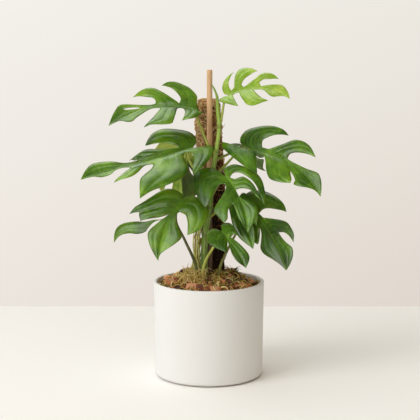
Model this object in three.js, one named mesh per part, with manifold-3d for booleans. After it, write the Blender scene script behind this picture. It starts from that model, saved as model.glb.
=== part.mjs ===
// A climbing aroid with cut leaves on a coir pole, in a plain white cylinder pot.
// Millimetres, +Z up, origin at the middle of the pot's flat base.
// The picture side is -Y, so that side shows the front leaves.
import * as THREE from "three";
import { mergeVertices } from "three/addons/utils/BufferGeometryUtils.js";
import Module from "manifold-3d";

const wasm = await Module();
wasm.setup();

// Driving dimensions
const POT_RADIUS = 75;
const POT_HEIGHT = 130;
const POT_WALL = 4.5;
const POT_FLOOR = 8;
const POT_TAPER = 1.5; // the foot is this much narrower than the rim, on the radius
const FOOT_CURVE = 6;
const SOIL_EDGE = 120;
const SOIL_HEAP = 20; // how much higher the mix stands round the stems
const CHIP_COUNT = 18;
const FIT_GAP = 0.3; // between pieces that touch
const BLADE = 0.8;
const MIDRIB = 1.1; // radius of the rib under a blade where the petiole joins it
const KNEE_RADIUS = 1.9; // the swollen joint between petiole and blade
const PETIOLE = 2; // radius of a petiole where it leaves the stem
const BASAL_PETIOLE = 2.6; // radius of a petiole that comes up out of the mix
const STEM_FOOT = 5.4; // radius of the climbing stem at its foot
const STEM_TOP = 2.5;
const STEM_KNOT = 0.9; // how far a node stands out of the stem
const POLE_RADIUS = 14.5;
const POLE_HOLE_GAP = 1.6; // clears the lumps of the coir
const STAKE_RADIUS = 3.7;
const STAKE_FOOT = 40; // how high over the pot's base the stake's lower end is
const STAKE_TOP = 415;
const STAKE_SPOT = [1, -8];
const ROOT_START = 1.5; // radius of an aerial root where it leaves the stem
const ROOT_END = 1.1;

const V = (x, y, z) => new THREE.Vector3(x, y, z);

const COLOURS = {
  ceramic: { color: 0xeae7e1, roughness: 0.6 },
  mix: { color: 0x6d4a30, roughness: 0.95 },
  coir: { color: 0x5e4426, roughness: 1 },
  wood: { color: 0xc7a178, roughness: 0.75 },
  stem: { color: 0x5d8a2c, roughness: 0.5 },
  leaf: { color: 0x3c6b1e, roughness: 0.4 },
  young: { color: 0x93b32f, roughness: 0.4 },
  dry: { color: 0x9c8440, roughness: 0.9 },
};

// A seeded generator, so the random draws are the same each time.
function seeded(seed) {
  let state = seed;
  return () => {
    state = (state * 1664525 + 1013904223) % 4294967296;
    return state / 4294967296;
  };
}

// Solids and meshes

function solidOf(geometry) {
  const plain = new THREE.BufferGeometry();
  plain.setAttribute("position", geometry.getAttribute("position"));
  if (geometry.index) plain.setIndex(geometry.index);
  const merged = mergeVertices(plain, 1e-4);
  return new wasm.Manifold(
    new wasm.Mesh({
      numProp: 3,
      vertProperties: new Float32Array(merged.attributes.position.array),
      triVerts: new Uint32Array(merged.index.array),
    }),
  );
}

function meshOf(name, solid, finish) {
  const data = solid.getMesh();
  const points = new Float32Array(data.numVert * 3);
  for (let i = 0; i < data.numVert; i++) {
    points.set(data.vertProperties.subarray(i * data.numProp, i * data.numProp + 3), i * 3);
  }
  const geometry = new THREE.BufferGeometry();
  geometry.setAttribute("position", new THREE.BufferAttribute(points, 3));
  geometry.setIndex(new THREE.BufferAttribute(data.triVerts, 1));
  geometry.computeVertexNormals();
  const mesh = new THREE.Mesh(geometry, new THREE.MeshStandardMaterial(finish));
  mesh.name = name;
  return mesh;
}

function geometryOf(points, faces) {
  const geometry = new THREE.BufferGeometry();
  const numbers = points.flatMap((p) => [p.x, p.y, p.z]);
  geometry.setAttribute("position", new THREE.Float32BufferAttribute(numbers, 3));
  geometry.setIndex(faces.flat());
  return geometry;
}

// A closed round bar along a smooth path, whose radius changes from place to place.
// radiusAt gives the radius at a share of the length (0 to 1) and at an angle round the bar.
function bar(path, radiusAt, sides, steps) {
  const curve = new THREE.CatmullRomCurve3(path, false, "centripetal");
  const { normals, binormals } = curve.computeFrenetFrames(steps, false);
  const points = [];
  for (let i = 0; i <= steps; i++) {
    const centre = curve.getPointAt(i / steps);
    for (let j = 0; j < sides; j++) {
      const angle = (2 * Math.PI * j) / sides;
      const radius = radiusAt(i / steps, angle);
      const across = normals[i].clone().multiplyScalar(Math.cos(angle) * radius);
      points.push(centre.clone().add(across).addScaledVector(binormals[i], Math.sin(angle) * radius));
    }
  }
  const first = points.push(curve.getPointAt(0)) - 1;
  const last = points.push(curve.getPointAt(1)) - 1;
  const faces = [];
  for (let j = 0; j < sides; j++) {
    const k = (j + 1) % sides;
    faces.push([first, k, j], [last, steps * sides + j, steps * sides + k]);
    for (let i = 0; i < steps; i++) {
      const a = i * sides + j;
      const b = i * sides + k;
      faces.push([a, b, b + sides], [a, b + sides, a + sides]);
    }
  }
  return solidOf(geometryOf(points, faces));
}

const tapered = (start, end) => (share) => start + (end - start) * share;

// Pot: one turned shell with a rounded foot, a flat closed base and a thin rounded rim
function pot() {
  const foot = POT_RADIUS - POT_TAPER;
  const inner = POT_RADIUS - POT_WALL;
  const profile = [
    [0, 0],
    [foot - FOOT_CURVE, 0],
    [foot - FOOT_CURVE * 0.5, FOOT_CURVE * 0.13],
    [foot - FOOT_CURVE * 0.13, FOOT_CURVE * 0.5],
    [foot, FOOT_CURVE],
    [POT_RADIUS, POT_HEIGHT - 1.5],
    [POT_RADIUS - 0.5, POT_HEIGHT - 0.4],
    [POT_RADIUS - 1.5, POT_HEIGHT],
    [inner + 1.5, POT_HEIGHT],
    [inner + 0.4, POT_HEIGHT - 0.5],
    [inner, POT_HEIGHT - 1.6],
    [inner, POT_FLOOR],
    [0, POT_FLOOR],
  ];
  const lathe = new THREE.LatheGeometry(profile.map(([r, z]) => new THREE.Vector2(r, z)), 48);
  lathe.rotateX(Math.PI / 2);
  return solidOf(lathe);
}

// Potting mix: a heaped round body, rough on top, with bark chips sunk into it.
// The heap falls off with the square of the distance from the stems, plus ripples of two lengths.
function soilHeight(x, y) {
  const share = Math.min(1, Math.hypot(x, y - 4) / (POT_RADIUS - POT_WALL));
  const ripple = 1.3 * Math.sin(x * 0.21 + 1.1) * Math.cos(y * 0.24) + 0.7 * Math.sin(x * 0.47 + y * 0.39);
  return SOIL_EDGE + SOIL_HEAP * (1 - share * share) ** 1.5 + ripple;
}

function soil() {
  const radius = POT_RADIUS - POT_WALL - FIT_GAP;
  const rings = 6;
  const sides = 32;
  const points = [V(0, 0, soilHeight(0, 0))];
  const faces = [];
  for (let i = 1; i <= rings; i++) {
    for (let j = 0; j < sides; j++) {
      const angle = (2 * Math.PI * j) / sides;
      const x = (radius * i * Math.cos(angle)) / rings;
      const y = (radius * i * Math.sin(angle)) / rings;
      points.push(V(x, y, soilHeight(x, y)));
    }
  }
  const at = (i, j) => (i === 0 ? 0 : 1 + (i - 1) * sides + (j % sides));
  const floorRing = points.length;
  for (let j = 0; j < sides; j++) {
    const rim = points[at(rings, j)];
    points.push(V(rim.x, rim.y, POT_FLOOR + FIT_GAP));
  }
  const under = points.push(V(0, 0, POT_FLOOR + FIT_GAP)) - 1;
  for (let j = 0; j < sides; j++) {
    const k = (j + 1) % sides;
    faces.push([0, at(1, j), at(1, k)]);
    for (let i = 1; i < rings; i++) {
      faces.push([at(i, j), at(i + 1, j), at(i + 1, k)], [at(i, j), at(i + 1, k), at(i, k)]);
    }
    faces.push([at(rings, j), floorRing + j, floorRing + k], [at(rings, j), floorRing + k, at(rings, k)]);
    faces.push([under, floorRing + k, floorRing + j]);
  }
  return solidOf(geometryOf(points, faces));
}

// Bark chips lie at a slant, more than half sunk, spread by the golden angle from the stems out to the wall.
function barkChips() {
  const draw = seeded(11);
  const chips = [];
  for (let i = 0; i < CHIP_COUNT; i++) {
    const reach = 25 + 36 * Math.sqrt((i + 0.5) / CHIP_COUNT);
    const angle = i * 2.39996 + 0.4 * draw();
    const x = reach * Math.cos(angle);
    const y = reach * Math.sin(angle);
    const chip = new THREE.BoxGeometry(9 + 8 * draw(), 6 + 4 * draw(), 3.4, 2, 1, 1);
    const spots = chip.attributes.position;
    for (let n = 0; n < spots.count; n++) {
      spots.setZ(n, spots.getZ(n) + 0.012 * spots.getX(n) ** 2);
      spots.setY(n, spots.getY(n) * (1 - 0.03 * Math.abs(spots.getX(n))));
    }
    chip.rotateX(0.5 * (draw() - 0.5));
    chip.rotateY(0.7 * (draw() - 0.5));
    chip.rotateZ(6.28 * draw());
    chip.translate(x, y, soilHeight(x, y) - 0.2);
    chips.push(solidOf(chip));
  }
  return chips;
}

// Coir pole: a leaning column with a lumpy skin that narrows and rounds off at the top
const POLE_LINE = [V(6, 12, 40), V(6, 12, 142), V(5, 12, 293), V(-2, 12, 376)];

function coirPole() {
  const skin = (share, angle) => {
    const lumps = 0.7 * Math.sin(angle * 3 + share * 19) + 0.5 * Math.sin(angle * 5 - share * 31);
    const crown = share > 0.98 ? 0.84 : 1;
    return (POLE_RADIUS + lumps) * crown;
  };
  return bar(POLE_LINE, skin, 14, 12);
}

// Wooden stake: a straight dowel with slightly broken edges
function stake(radius) {
  const profile = [
    [0, STAKE_FOOT],
    [radius - 0.4, STAKE_FOOT],
    [radius, STAKE_FOOT + 1],
    [radius, STAKE_TOP - 0.8],
    [radius - 0.8, STAKE_TOP],
    [0, STAKE_TOP],
  ];
  const lathe = new THREE.LatheGeometry(profile.map(([r, z]) => new THREE.Vector2(r, z)), 12);
  lathe.rotateX(Math.PI / 2);
  lathe.translate(...STAKE_SPOT, 0);
  return solidOf(lathe);
}

// Climbing stem: thick and dark at the foot, thin above, ending in a pointed leaf sheath.
// The nodes where petioles leave it are a little thicker.
const VINE_LINE = [
  V(-6, -17, 96), V(-6, -17.5, 140), V(-6, -18, 175), V(-4, -19, 202), V(1, -19, 232), V(3, -18, 256),
  V(6, -17, 283), V(10, -16, 308), V(13, -14, 329), V(14, -13, 342), V(12, -12, 362), V(11, -12, 379),
  V(8, -12, 388), V(4, -13, 396),
];
const VINE_NODES = [0.16, 0.33, 0.45, 0.54, 0.62, 0.7, 0.81];
const SHEATH_START = 0.82;

function vineRadius(share) {
  const thinned = Math.min(1, share / SHEATH_START);
  const body = THREE.MathUtils.lerp(STEM_FOOT, STEM_TOP, thinned);
  const sheath = thinned < 1 ? 1 : 1.15 - 0.95 * ((share - SHEATH_START) / (1 - SHEATH_START)) ** 2;
  const knots = VINE_NODES.reduce((sum, at) => sum + Math.exp(-(((share - at) / 0.012) ** 2)), 0);
  return body * sheath + STEM_KNOT * knots;
}

const vine = (extra) => bar(VINE_LINE, (share) => vineRadius(share) + extra, 8, 26);

// Aerial roots: dry strands that leave the stem low down and run into the mix
const ROOT_LINES = {
  aerial_root_01: [V(-13, -17, 214), V(-17, -18, 196), V(-18, -17, 172), V(-15, -16, 150), V(-14, -15, 112)],
  aerial_root_02: [V(-12, -8, 190), V(-16, -6, 170), V(-20, -8, 148), V(-22, -9, 112)],
};

// Leaf outlines, in millimetres on the blade: u from the petiole to the tip, v across, positive to the left.
// bow is how far the midrib swings to the left half way along. A lobe is [root, bay, out, tip, back]:
// root is where the slit before it starts on the midrib, bay is the slit's inner end, out are points of the
// edge that looks to the petiole, tip is its point, and back are points of the edge that looks to the
// leaf's tip. The last lobe of each side ends at the leaf's tip and the midrib.
const OUTLINES = {
  leaf_01: {
    length: 121,
    bow: -15,
    left: [
      [0, [0, 0], [[-5, 3], [5, 11], [16, 16]], [27, 18], [[22, 9], [19, -2]]],
      [22, [23, -7], [[28, -6], [31, 1], [37, 15], [41, 21], [53, 21], [66, 19]], [77, 21],
        [[68, 11], [60, 3], [53, -5]]],
      [48, [50, -10], [[59, -12], [67, -10], [77, -4], [84, 1], [90, 6], [97, 4], [105, -2], [113, -2]]],
    ],
    right: [
      [0, [0, 0], [[1, -12], [-1, -22], [5, -35], [12, -42], [22, -48], [33, -49]], [42, -45],
        [[36, -42], [29, -38], [24, -31], [21, -21]]],
      [24, [24, -15], [[31, -22], [39, -31], [46, -38], [53, -43], [62, -44], [71, -41]], [82, -34],
        [[72, -33], [64, -31], [57, -28], [54, -23]]],
      [52, [55, -19], [[62, -19], [80, -22], [100, -26], [108, -20], [115, -11]]],
    ],
  },
  leaf_02: {
    length: 154,
    bow: 6,
    left: [
      [0, [0, 0], [[-11, 1], [-24, 0], [-27, 8], [-18, 23], [-4, 37], [7, 45]], [18, 52],
        [[14, 39], [7, 25], [6, 13]]],
      [17, [13, 8], [[18, 15], [19, 32], [23, 45], [33, 54], [47, 58], [62, 60], [77, 62]], [93, 68],
        [[88, 50], [83, 38], [75, 32], [66, 26]]],
      [56, [59, 18], [[66, 16], [73, 17], [81, 23], [88, 27], [95, 29], [105, 29]], [116, 29],
        [[106, 21], [97, 16], [91, 14]]],
      [84, [89, 11], [[95, 8], [102, 7], [109, 8], [115, 12], [122, 12], [129, 10], [137, 4], [146, 2]]],
    ],
    right: [
      [0, [0, 0], [[-8, -8], [-8, -19], [-2, -28], [12, -35], [29, -39], [44, -35], [54, -26]], [60, -17],
        [[45, -16], [32, -14], [23, -9]]],
      [20, [18, -3], [[25, -3], [41, -6], [55, -10], [64, -10], [75, -6]], [87, -1], [[82, 0]]],
      [76, [76, 2.5], [[82, 2.5], [89, 2], [97, -1], [106, -7], [117, -12], [127, -15], [135, -15], [142, -11],
        [149, -5]]],
    ],
  },
  leaf_03: {
    length: 91,
    bow: -9,
    left: [
      [0, [0, 0], [[-6, 8], [-7, 28], [12, 38], [33, 34]], [46, 22], [[37, 19], [30, 16], [24, 12], [20, 7]]],
      [19, [21, 1], [[26, -1], [32, 1], [39, 6], [48, 15], [54, 16], [65, 10], [75, 3], [83, -1]]],
    ],
    right: [
      [0, [0, 0], [[-4, -5], [-5, -14], [-2, -26], [6, -34], [17, -41], [28, -48], [38, -55]], [49, -58],
        [[45, -53]]],
      [12, [42, -47], [[47, -45]], [52, -41], [[48, -36], [42, -27], [37, -19], [32, -13]]],
      [24, [28, -10], [[34, -12], [40, -18], [44, -26], [51, -36], [54, -45], [59, -55], [64, -62], [71, -66],
        [80, -66]], [91, -62], [[83, -60], [77, -56], [72, -48], [69, -38], [63, -30], [56, -28], [46, -24]]],
      [33, [40, -17], [[48, -21], [56, -25], [64, -26], [74, -20], [83, -11]]],
    ],
  },
  leaf_04: {
    length: 81,
    bow: 6,
    left: [
      [0, [0, 0], [[-11, 2], [-14, 8], [-13, 19], [-3, 32], [8, 40], [20, 43], [36, 41], [47, 38]], [54, 33],
        [[40, 33], [29, 33], [18, 31], [10, 27], [3, 22], [-1, 16], [-1, 10]]],
      [4, [3, 5], [[7, 10], [7, 20], [12, 25], [20, 29], [30, 31], [39, 31]], [48, 32],
        [[38, 27], [29, 23], [24, 17], [22, 11]]],
      [16, [22, 6], [[28, 6], [36, 9], [42, 14], [49, 20], [57, 22], [67, 16], [75, 8]]],
    ],
    right: [
      [0, [0, 0], [[-6, -3], [-15, -9], [-22, -20], [-24, -31], [-15, -40], [4, -45], [20, -44]], [32, -40],
        [[27, -33], [20, -26], [13, -19], [9, -12]]],
      [9, [10, -5], [[16, -6], [24, -14], [32, -24], [39, -32], [45, -31], [53, -28]], [60, -25],
        [[56, -19], [49, -16], [43, -12]]],
      [30, [40, -5], [[49, -5], [58, -5], [67, -3], [75, -1]]],
    ],
  },
  leaf_05: {
    length: 83,
    bow: 11,
    left: [
      [0, [0, 0], [[-7, 2], [-11, 8], [-12, 16], [-11, 24], [-7, 31]], [0, 36], [[-3, 30], [-4, 22], [-2, 12]]],
      [5, [2, 7], [[5, 12], [4, 22], [4, 32], [7, 40], [14, 43], [23, 42]], [33, 37],
        [[27, 34], [21, 28], [17, 22], [15, 15]]],
      [21, [19, 12], [[23, 15], [28, 20], [33, 26], [37, 32], [43, 35], [50, 35], [57, 32]], [63, 27],
        [[53, 26], [45, 25], [41, 22], [39, 18]]],
      [39, [42, 14], [[51, 16], [59, 18], [67, 19], [73, 16], [79, 8]]],
    ],
    right: [
      [0, [0, 0], [[-6, -4], [-12, -6], [-10, -12], [-4, -15], [3, -17], [11, -20]], [19, -22],
        [[14, -15], [9, -7], [6, -1]]],
      [9, [9, 2], [[14, 2], [18, -5], [24, -13], [30, -19], [39, -20], [47, -16]], [56, -10],
        [[50, -8], [44, -4], [37, 2]]],
      [28, [33, 7], [[40, 8], [47, 7], [53, 2], [60, -2], [67, 0], [75, 2]]],
    ],
  },
  leaf_06: {
    length: 116,
    bow: 13,
    left: [
      [0, [0, 0], [[-13, 0], [-21, 5], [-23, 13], [-21, 22], [-13, 31], [-1, 40], [12, 45], [24, 46]], [33, 43],
        [[25, 39], [17, 34], [11, 27], [8, 19]]],
      [17, [13, 11], [[20, 12], [26, 19], [34, 30], [41, 40], [48, 45], [58, 47], [68, 45]], [80, 38],
        [[74, 37], [65, 34], [55, 29], [50, 23]]],
      [46, [51, 16], [[57, 16], [65, 17], [80, 19], [91, 22], [97, 22], [105, 16], [112, 7]]],
    ],
    right: [
      [0, [0, 0], [[-14, -6], [-28, -8], [-42, -9], [-33, -17], [-16, -21], [4, -24], [20, -26]], [33, -25],
        [[26, -17], [18, -9], [13, -1]]],
      [14, [17, 3], [[23, 2], [30, -4], [38, -13], [47, -20], [54, -21], [65, -17]], [75, -10],
        [[73, -5], [69, -1]]],
      [52, [65, 3], [[71, 1], [77, -3], [79, -9], [88, -6], [97, -1], [106, 2]]],
    ],
  },
  leaf_07: {
    length: 94,
    bow: 6,
    left: [
      [0, [0, 0], [[-9, -4], [-29, -4], [-32, 3], [-30, 12], [-23, 22], [-14, 30], [2, 38], [16, 41]], [27, 39],
        [[21, 34], [14, 27], [9, 21], [6, 14]]],
      [8, [7, 6], [[14, 7], [19, 12], [26, 20], [33, 28], [40, 33], [49, 34], [59, 33]], [68, 27],
        [[62, 27], [56, 26], [50, 23]]],
      [42, [46, 17], [[53, 17], [63, 19], [71, 22], [77, 21], [84, 16], [90, 8]]],
    ],
    right: [
      [0, [0, 0], [[5, -4], [11, -7], [17, -11], [24, -15], [32, -18], [39, -18]], [45, -15],
        [[42, -11], [34, -6]]],
      [20, [27, -2], [[35, -4], [43, -9], [50, -14], [56, -15], [63, -13], [72, -8], [83, -3]]],
    ],
  },
  leaf_08: {
    length: 60,
    bow: 1,
    left: [
      [0, [0, 0], [[-9, 6], [-3, 16]], [26, 15], [[13, 12]]],
      [9, [14, 5], [[27, 9], [48, 12]]],
    ],
    right: [
      [0, [0, 0], [[-9, -7], [-6, -19], [9, -25]], [31, -12], [[24, -7]]],
      [11, [17, -2], [[27, -5], [36, -7], [48, -6]]],
    ],
  },
  leaf_09: {
    length: 72,
    bow: 0,
    left: [
      [0, [0, 0], [[-6, 9], [8, 18], [26, 20]], [44, 12], [[30, 7]]],
      [14, [20, 4], [[36, 7], [54, 8]]],
    ],
    right: [[0, [0, 0], [[-6, -7], [5, -15], [20, -17], [33, -18], [44, -17], [55, -13]]]],
  },
};

// Where each leaf hangs. at is the end of its petiole; heading is the way its midrib points, seen from above
// (0 is +X, 90 is +Y); dip is how far it points down; roll turns the blade about the midrib; bend is how far
// the blade droops from petiole to tip; fold is how steeply each half rises from the midrib. All angles are
// in degrees. arch, in millimetres, is how far the halves come down again at the lobes' ends.
const LEAVES = {
  leaf_01: { at: [-13, -24, 361], heading: 196, dip: 1, roll: -46, bend: 22, fold: 14, arch: 7 },
  leaf_02: { at: [-21, -34, 314], heading: 200, dip: 6, roll: -38, bend: 22, fold: 12, arch: 13 },
  leaf_03: { at: [-32, -48, 249], heading: 236, dip: 52, roll: -38, bend: 20, fold: 10, arch: 6 },
  leaf_04: { at: [22, -50, 277], heading: 303, dip: 49, roll: 24, bend: 22, fold: 10, arch: 6 },
  leaf_05: { at: [27, -10, 382], heading: 335, dip: -5, roll: 50, bend: 25, fold: 12, arch: 5 },
  leaf_06: { at: [54, -30, 311], heading: 323, dip: 22, roll: 50, bend: 25, fold: 12, arch: 8 },
  leaf_07: { at: [59, -30, 228], heading: 299, dip: 41, roll: 46, bend: 25, fold: 10, arch: 8 },
  leaf_08: { at: [17, -60, 207], heading: 313, dip: 38, roll: 28, bend: 22, fold: 10, arch: 4 },
  leaf_09: { at: [39, -34, 247], heading: 298, dip: 55, roll: 22, bend: 15, fold: 8, arch: 4 },
  leaf_10: { at: [-29, 24, 305], heading: 92, dip: 48, roll: 0, bend: 26, fold: 10, arch: 7 },
  leaf_11: { at: [48, 22, 312], heading: 62, dip: 16, roll: -8, bend: 34, fold: 10, arch: 7 },
};

// The two leaves at the back have the outline of another leaf, at another size.
const COPIES = { leaf_10: { like: "leaf_07", size: 1.2 }, leaf_11: { like: "leaf_06", size: 0.66 } };

// Petiole of each leaf, from the stem or from the mix up to the blade; the last point is the blade's own.
const PETIOLES = {
  leaf_01: [V(9, -16.5, 304), V(-2, -22, 319), V(-9, -23, 337), V(-15, -24, 352)],
  leaf_02: [V(3.5, -18, 258), V(-7, -28, 281), V(-16, -34, 300)],
  leaf_03: [V(-16, -30, 100), V(-17, -32, 154), V(-31, -38, 190), V(-43, -43, 218), V(-40, -46, 238)],
  leaf_04: [V(2, -18.7, 245), V(10, -34, 261), V(17, -46, 273)],
  leaf_05: [V(14, -13.4, 336), V(18, -11, 358), V(21, -10, 373)],
  leaf_06: [V(5, -17.5, 274), V(16, -21, 283), V(23, -25, 291), V(33, -29, 302), V(45, -31, 310)],
  leaf_07: [V(11, -20, 100), V(14, -22, 148), V(26, -24, 178), V(43, -27, 209)],
  leaf_08: [V(-9, -36, 100), V(-10, -34, 134), V(-5, -38, 162), V(7, -51, 186), V(13, -58, 200)],
  leaf_09: [V(-1, -19, 218), V(14, -26, 230), V(28, -32, 241)],
  leaf_10: [V(4.2, -17.5, 268), V(-12, -14, 276), V(-23, 2, 288), V(-28, 16, 299)],
  leaf_11: [V(8, -16.6, 296), V(26, -8, 303), V(38, 8, 309)],
};
const BASAL = ["leaf_03", "leaf_07", "leaf_08"];

const ROWS = 5; // rows of faces in a lobe; the first ends at the inner end of the slit
const COLUMNS = 2;
const HALF_OVERLAP = 0.8;
const RIB_SINK = 0.25; // how far the midrib's axis lies below the blade's middle

const radians = THREE.MathUtils.degToRad;

function scaledOutline(name) {
  const { like, size } = COPIES[name] ?? { like: name, size: 1 };
  const grow = ([u, v]) => new THREE.Vector2(u * size, v * size);
  const outline = OUTLINES[like];
  const side = (lobes) =>
    lobes.map(([root, bay, out, tip, back]) => ({
      root: root * size,
      bay: grow(bay),
      out: out.map(grow),
      tip: tip && grow(tip),
      back: back && back.map(grow),
    }));
  return {
    length: outline.length * size,
    bow: outline.bow * size,
    left: side(outline.left),
    right: side(outline.right),
  };
}

// The midrib on the blade: a parabola that swings out by bow and comes back at the tip.
function midrib(outline, u) {
  const share = THREE.MathUtils.clamp(u / outline.length, 0, 1);
  return new THREE.Vector2(u, 4 * outline.bow * share * (1 - share));
}

// A point (u, v) of a blade in space, lifted off it by rise. The midrib bends down along a circle; each half
// rises from it at the fold angle and comes down again with the square of its distance from the midrib.
// sign is 1 on the left half and -1 on the right.
function bladePoint(leaf, outline, sign, u, v, rise) {
  const heading = radians(leaf.heading);
  const dip = radians(leaf.dip);
  const roll = radians(leaf.roll);
  const along = V(Math.cos(heading) * Math.cos(dip), Math.sin(heading) * Math.cos(dip), -Math.sin(dip));
  const level = V(-Math.sin(heading), Math.cos(heading), 0);
  const upright = along.clone().cross(level);
  const across = level.clone().multiplyScalar(Math.cos(roll)).addScaledVector(upright, Math.sin(roll));
  const normal = upright.multiplyScalar(Math.cos(roll)).addScaledVector(level, -Math.sin(roll));
  const bend = radians(leaf.bend);
  const turn = (bend * u) / outline.length;
  const reach = outline.length / bend;
  const away = v - midrib(outline, u).y;
  const half = 0.45 * outline.length;
  const lift = Math.tan(radians(leaf.fold)) * sign * away - leaf.arch * (away / half) ** 2 + rise;
  return V(...leaf.at)
    .addScaledVector(along, reach * Math.sin(turn) + lift * Math.sin(turn))
    .addScaledVector(normal, -reach * (1 - Math.cos(turn)) + lift * Math.cos(turn))
    .addScaledVector(across, v);
}

// One half of a blade as a closed sheet. Each lobe is a patch of rows from the midrib to its tip and columns
// from its near edge to its far edge, so neighbours share the stretch between the midrib and the bay.
// The sheet runs a little past the midrib, so that the two halves cross there and join.
function halfBlade(leaf, outline, sideName) {
  const lobes = outline[sideName];
  const sign = sideName === "left" ? 1 : -1;
  const past = (u, reach) => midrib(outline, u).add(new THREE.Vector2(0, -sign * reach));
  const start = (u) => past(u, HALF_OVERLAP);
  const end = past(outline.length, HALF_OVERLAP / 2);
  const spots = [];
  const numbers = new Map();
  const faces = [];

  const vertex = (p) => {
    const key = p.x.toFixed(2) + " " + p.y.toFixed(2);
    if (!numbers.has(key)) numbers.set(key, spots.push(p) - 1);
    return numbers.get(key);
  };
  const edge = (root, bay, points, tip) => {
    if (root === 0) return new THREE.SplineCurve([start(0), ...points, tip]).getSpacedPoints(ROWS);
    return [start(root), ...new THREE.SplineCurve([bay, ...points, tip]).getSpacedPoints(ROWS - 1)];
  };

  lobes.forEach((lobe, n) => {
    const next = lobes[n + 1];
    const near = edge(lobe.root, lobe.bay, lobe.out, next ? lobe.tip : end);
    const far = next
      ? edge(next.root, next.bay, [...lobe.back].reverse(), lobe.tip)
      : near.map((_, i) => (i < ROWS ? start(lobe.root + ((outline.length - lobe.root) * i) / ROWS) : end));
    const grid = near.map((from, i) =>
      Array.from({ length: COLUMNS + 1 }, (_, j) => {
        const share = j / COLUMNS;
        const spot = from.clone().lerp(far[i], share);
        if (next) {
          const onRib = start(THREE.MathUtils.lerp(lobe.root, next.root, share));
          const chord = near[0].clone().lerp(far[0], share);
          spot.addScaledVector(onRib.sub(chord), 1 - i / ROWS);
        }
        return vertex(spot);
      }),
    );
    for (let i = 0; i < ROWS; i++) {
      for (let j = 0; j < COLUMNS; j++) {
        const [a, b, c, d] = [grid[i][j], grid[i][j + 1], grid[i + 1][j + 1], grid[i + 1][j]];
        faces.push([a, b, c], [a, c, d]);
      }
    }
  });

  const sheet = faces.filter(([a, b, c]) => a !== b && b !== c && c !== a);
  if (sign < 0) sheet.forEach((face) => face.reverse());
  return thickened(leaf, outline, sign, spots, sheet);
}

// Both faces of the sheet, split into triangles alike, and a wall round its edge
function thickened(leaf, outline, sign, spots, sheet) {
  const points = [BLADE / 2, -BLADE / 2].flatMap((rise) =>
    spots.map((p) => bladePoint(leaf, outline, sign, p.x, p.y, rise)),
  );
  const count = spots.length;
  const faces = [];
  const edges = new Set(sheet.flatMap(([a, b, c]) => [a + " " + b, b + " " + c, c + " " + a]));
  for (const [a, b, c] of sheet) {
    faces.push([a, b, c], [c + count, b + count, a + count]);
    for (const [from, to] of [[a, b], [b, c], [c, a]]) {
      if (edges.has(to + " " + from)) continue;
      faces.push([from, from + count, to + count], [from, to + count, to]);
    }
  }
  return solidOf(geometryOf(points, faces));
}

// A leaf is its two half blades, the midrib under them, its petiole and the knee between them, all one body.
function leafSolid(name) {
  const leaf = LEAVES[name];
  const outline = scaledOutline(name);
  const ribPoint = (share) => {
    const spot = midrib(outline, share * outline.length);
    return bladePoint(leaf, outline, 1, spot.x, spot.y, -RIB_SINK);
  };
  const rib = bar([0, 0.2, 0.4, 0.6, 0.8, 0.97].map(ribPoint), tapered(MIDRIB, 0.6), 4, 6);
  const [thick, steps] = BASAL.includes(name) ? [BASAL_PETIOLE, 12] : [PETIOLE, 8];
  const petiole = bar([...PETIOLES[name], ribPoint(0)], tapered(thick, MIDRIB), 6, steps);
  const knee = new THREE.IcosahedronGeometry(KNEE_RADIUS, 1);
  knee.translate(...ribPoint(0).toArray());
  return wasm.Manifold.union([
    halfBlade(leaf, outline, "left"),
    halfBlade(leaf, outline, "right"),
    rib,
    petiole,
    solidOf(knee),
  ]);
}

// The plant put together: what touches keeps a small gap, and what stands in the mix has its own plain hole.
function assembled() {
  const group = new THREE.Group();
  const add = (name, solid, finish) => group.add(meshOf(name, solid, finish));

  const climbing = vine(0);
  const clearance = vine(FIT_GAP);
  const pole = coirPole();
  const post = stake(STAKE_RADIUS);
  let ground = wasm.Manifold.union([soil(), ...barkChips()]);
  ground = ground.subtract(bar(POLE_LINE.slice(0, 3), () => POLE_RADIUS + POLE_HOLE_GAP, 14, 3));
  ground = ground.subtract(stake(STAKE_RADIUS + FIT_GAP)).subtract(clearance);

  for (const [name, line] of Object.entries(ROOT_LINES)) {
    const thickness = tapered(ROOT_START, ROOT_END);
    add(name, bar(line, thickness, 6, 10), COLOURS.dry);
    ground = ground.subtract(bar(line, (share) => thickness(share) + FIT_GAP, 6, 10));
  }
  for (const name of Object.keys(LEAVES)) {
    const leaf = leafSolid(name);
    add(name, leaf.subtract(clearance), name === "leaf_05" ? COLOURS.young : COLOURS.leaf);
  }
  for (const name of BASAL) {
    const foot = PETIOLES[name].slice(0, 3);
    ground = ground.subtract(bar(foot, () => BASAL_PETIOLE + FIT_GAP, 6, 4));
  }
  add("pot", pot(), COLOURS.ceramic);
  add("soil", ground, COLOURS.mix);
  add("coir_pole", pole, COLOURS.coir);
  add("stake", post, COLOURS.wood);
  add("climbing_stem", climbing, COLOURS.stem);
  return group;
}

export default assembled();
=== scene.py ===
"""A climbing aroid with cut leaves on a coir pole and a stake, in a plain white cylinder pot.

Pieces are worked out in millimetres, +Z up, with the origin at the middle of the pot's base, and MM
turns them into Blender's metres. The photograph's side is -Y. Shapes that repeat the solids use the same
formulas.
"""

import math

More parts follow.
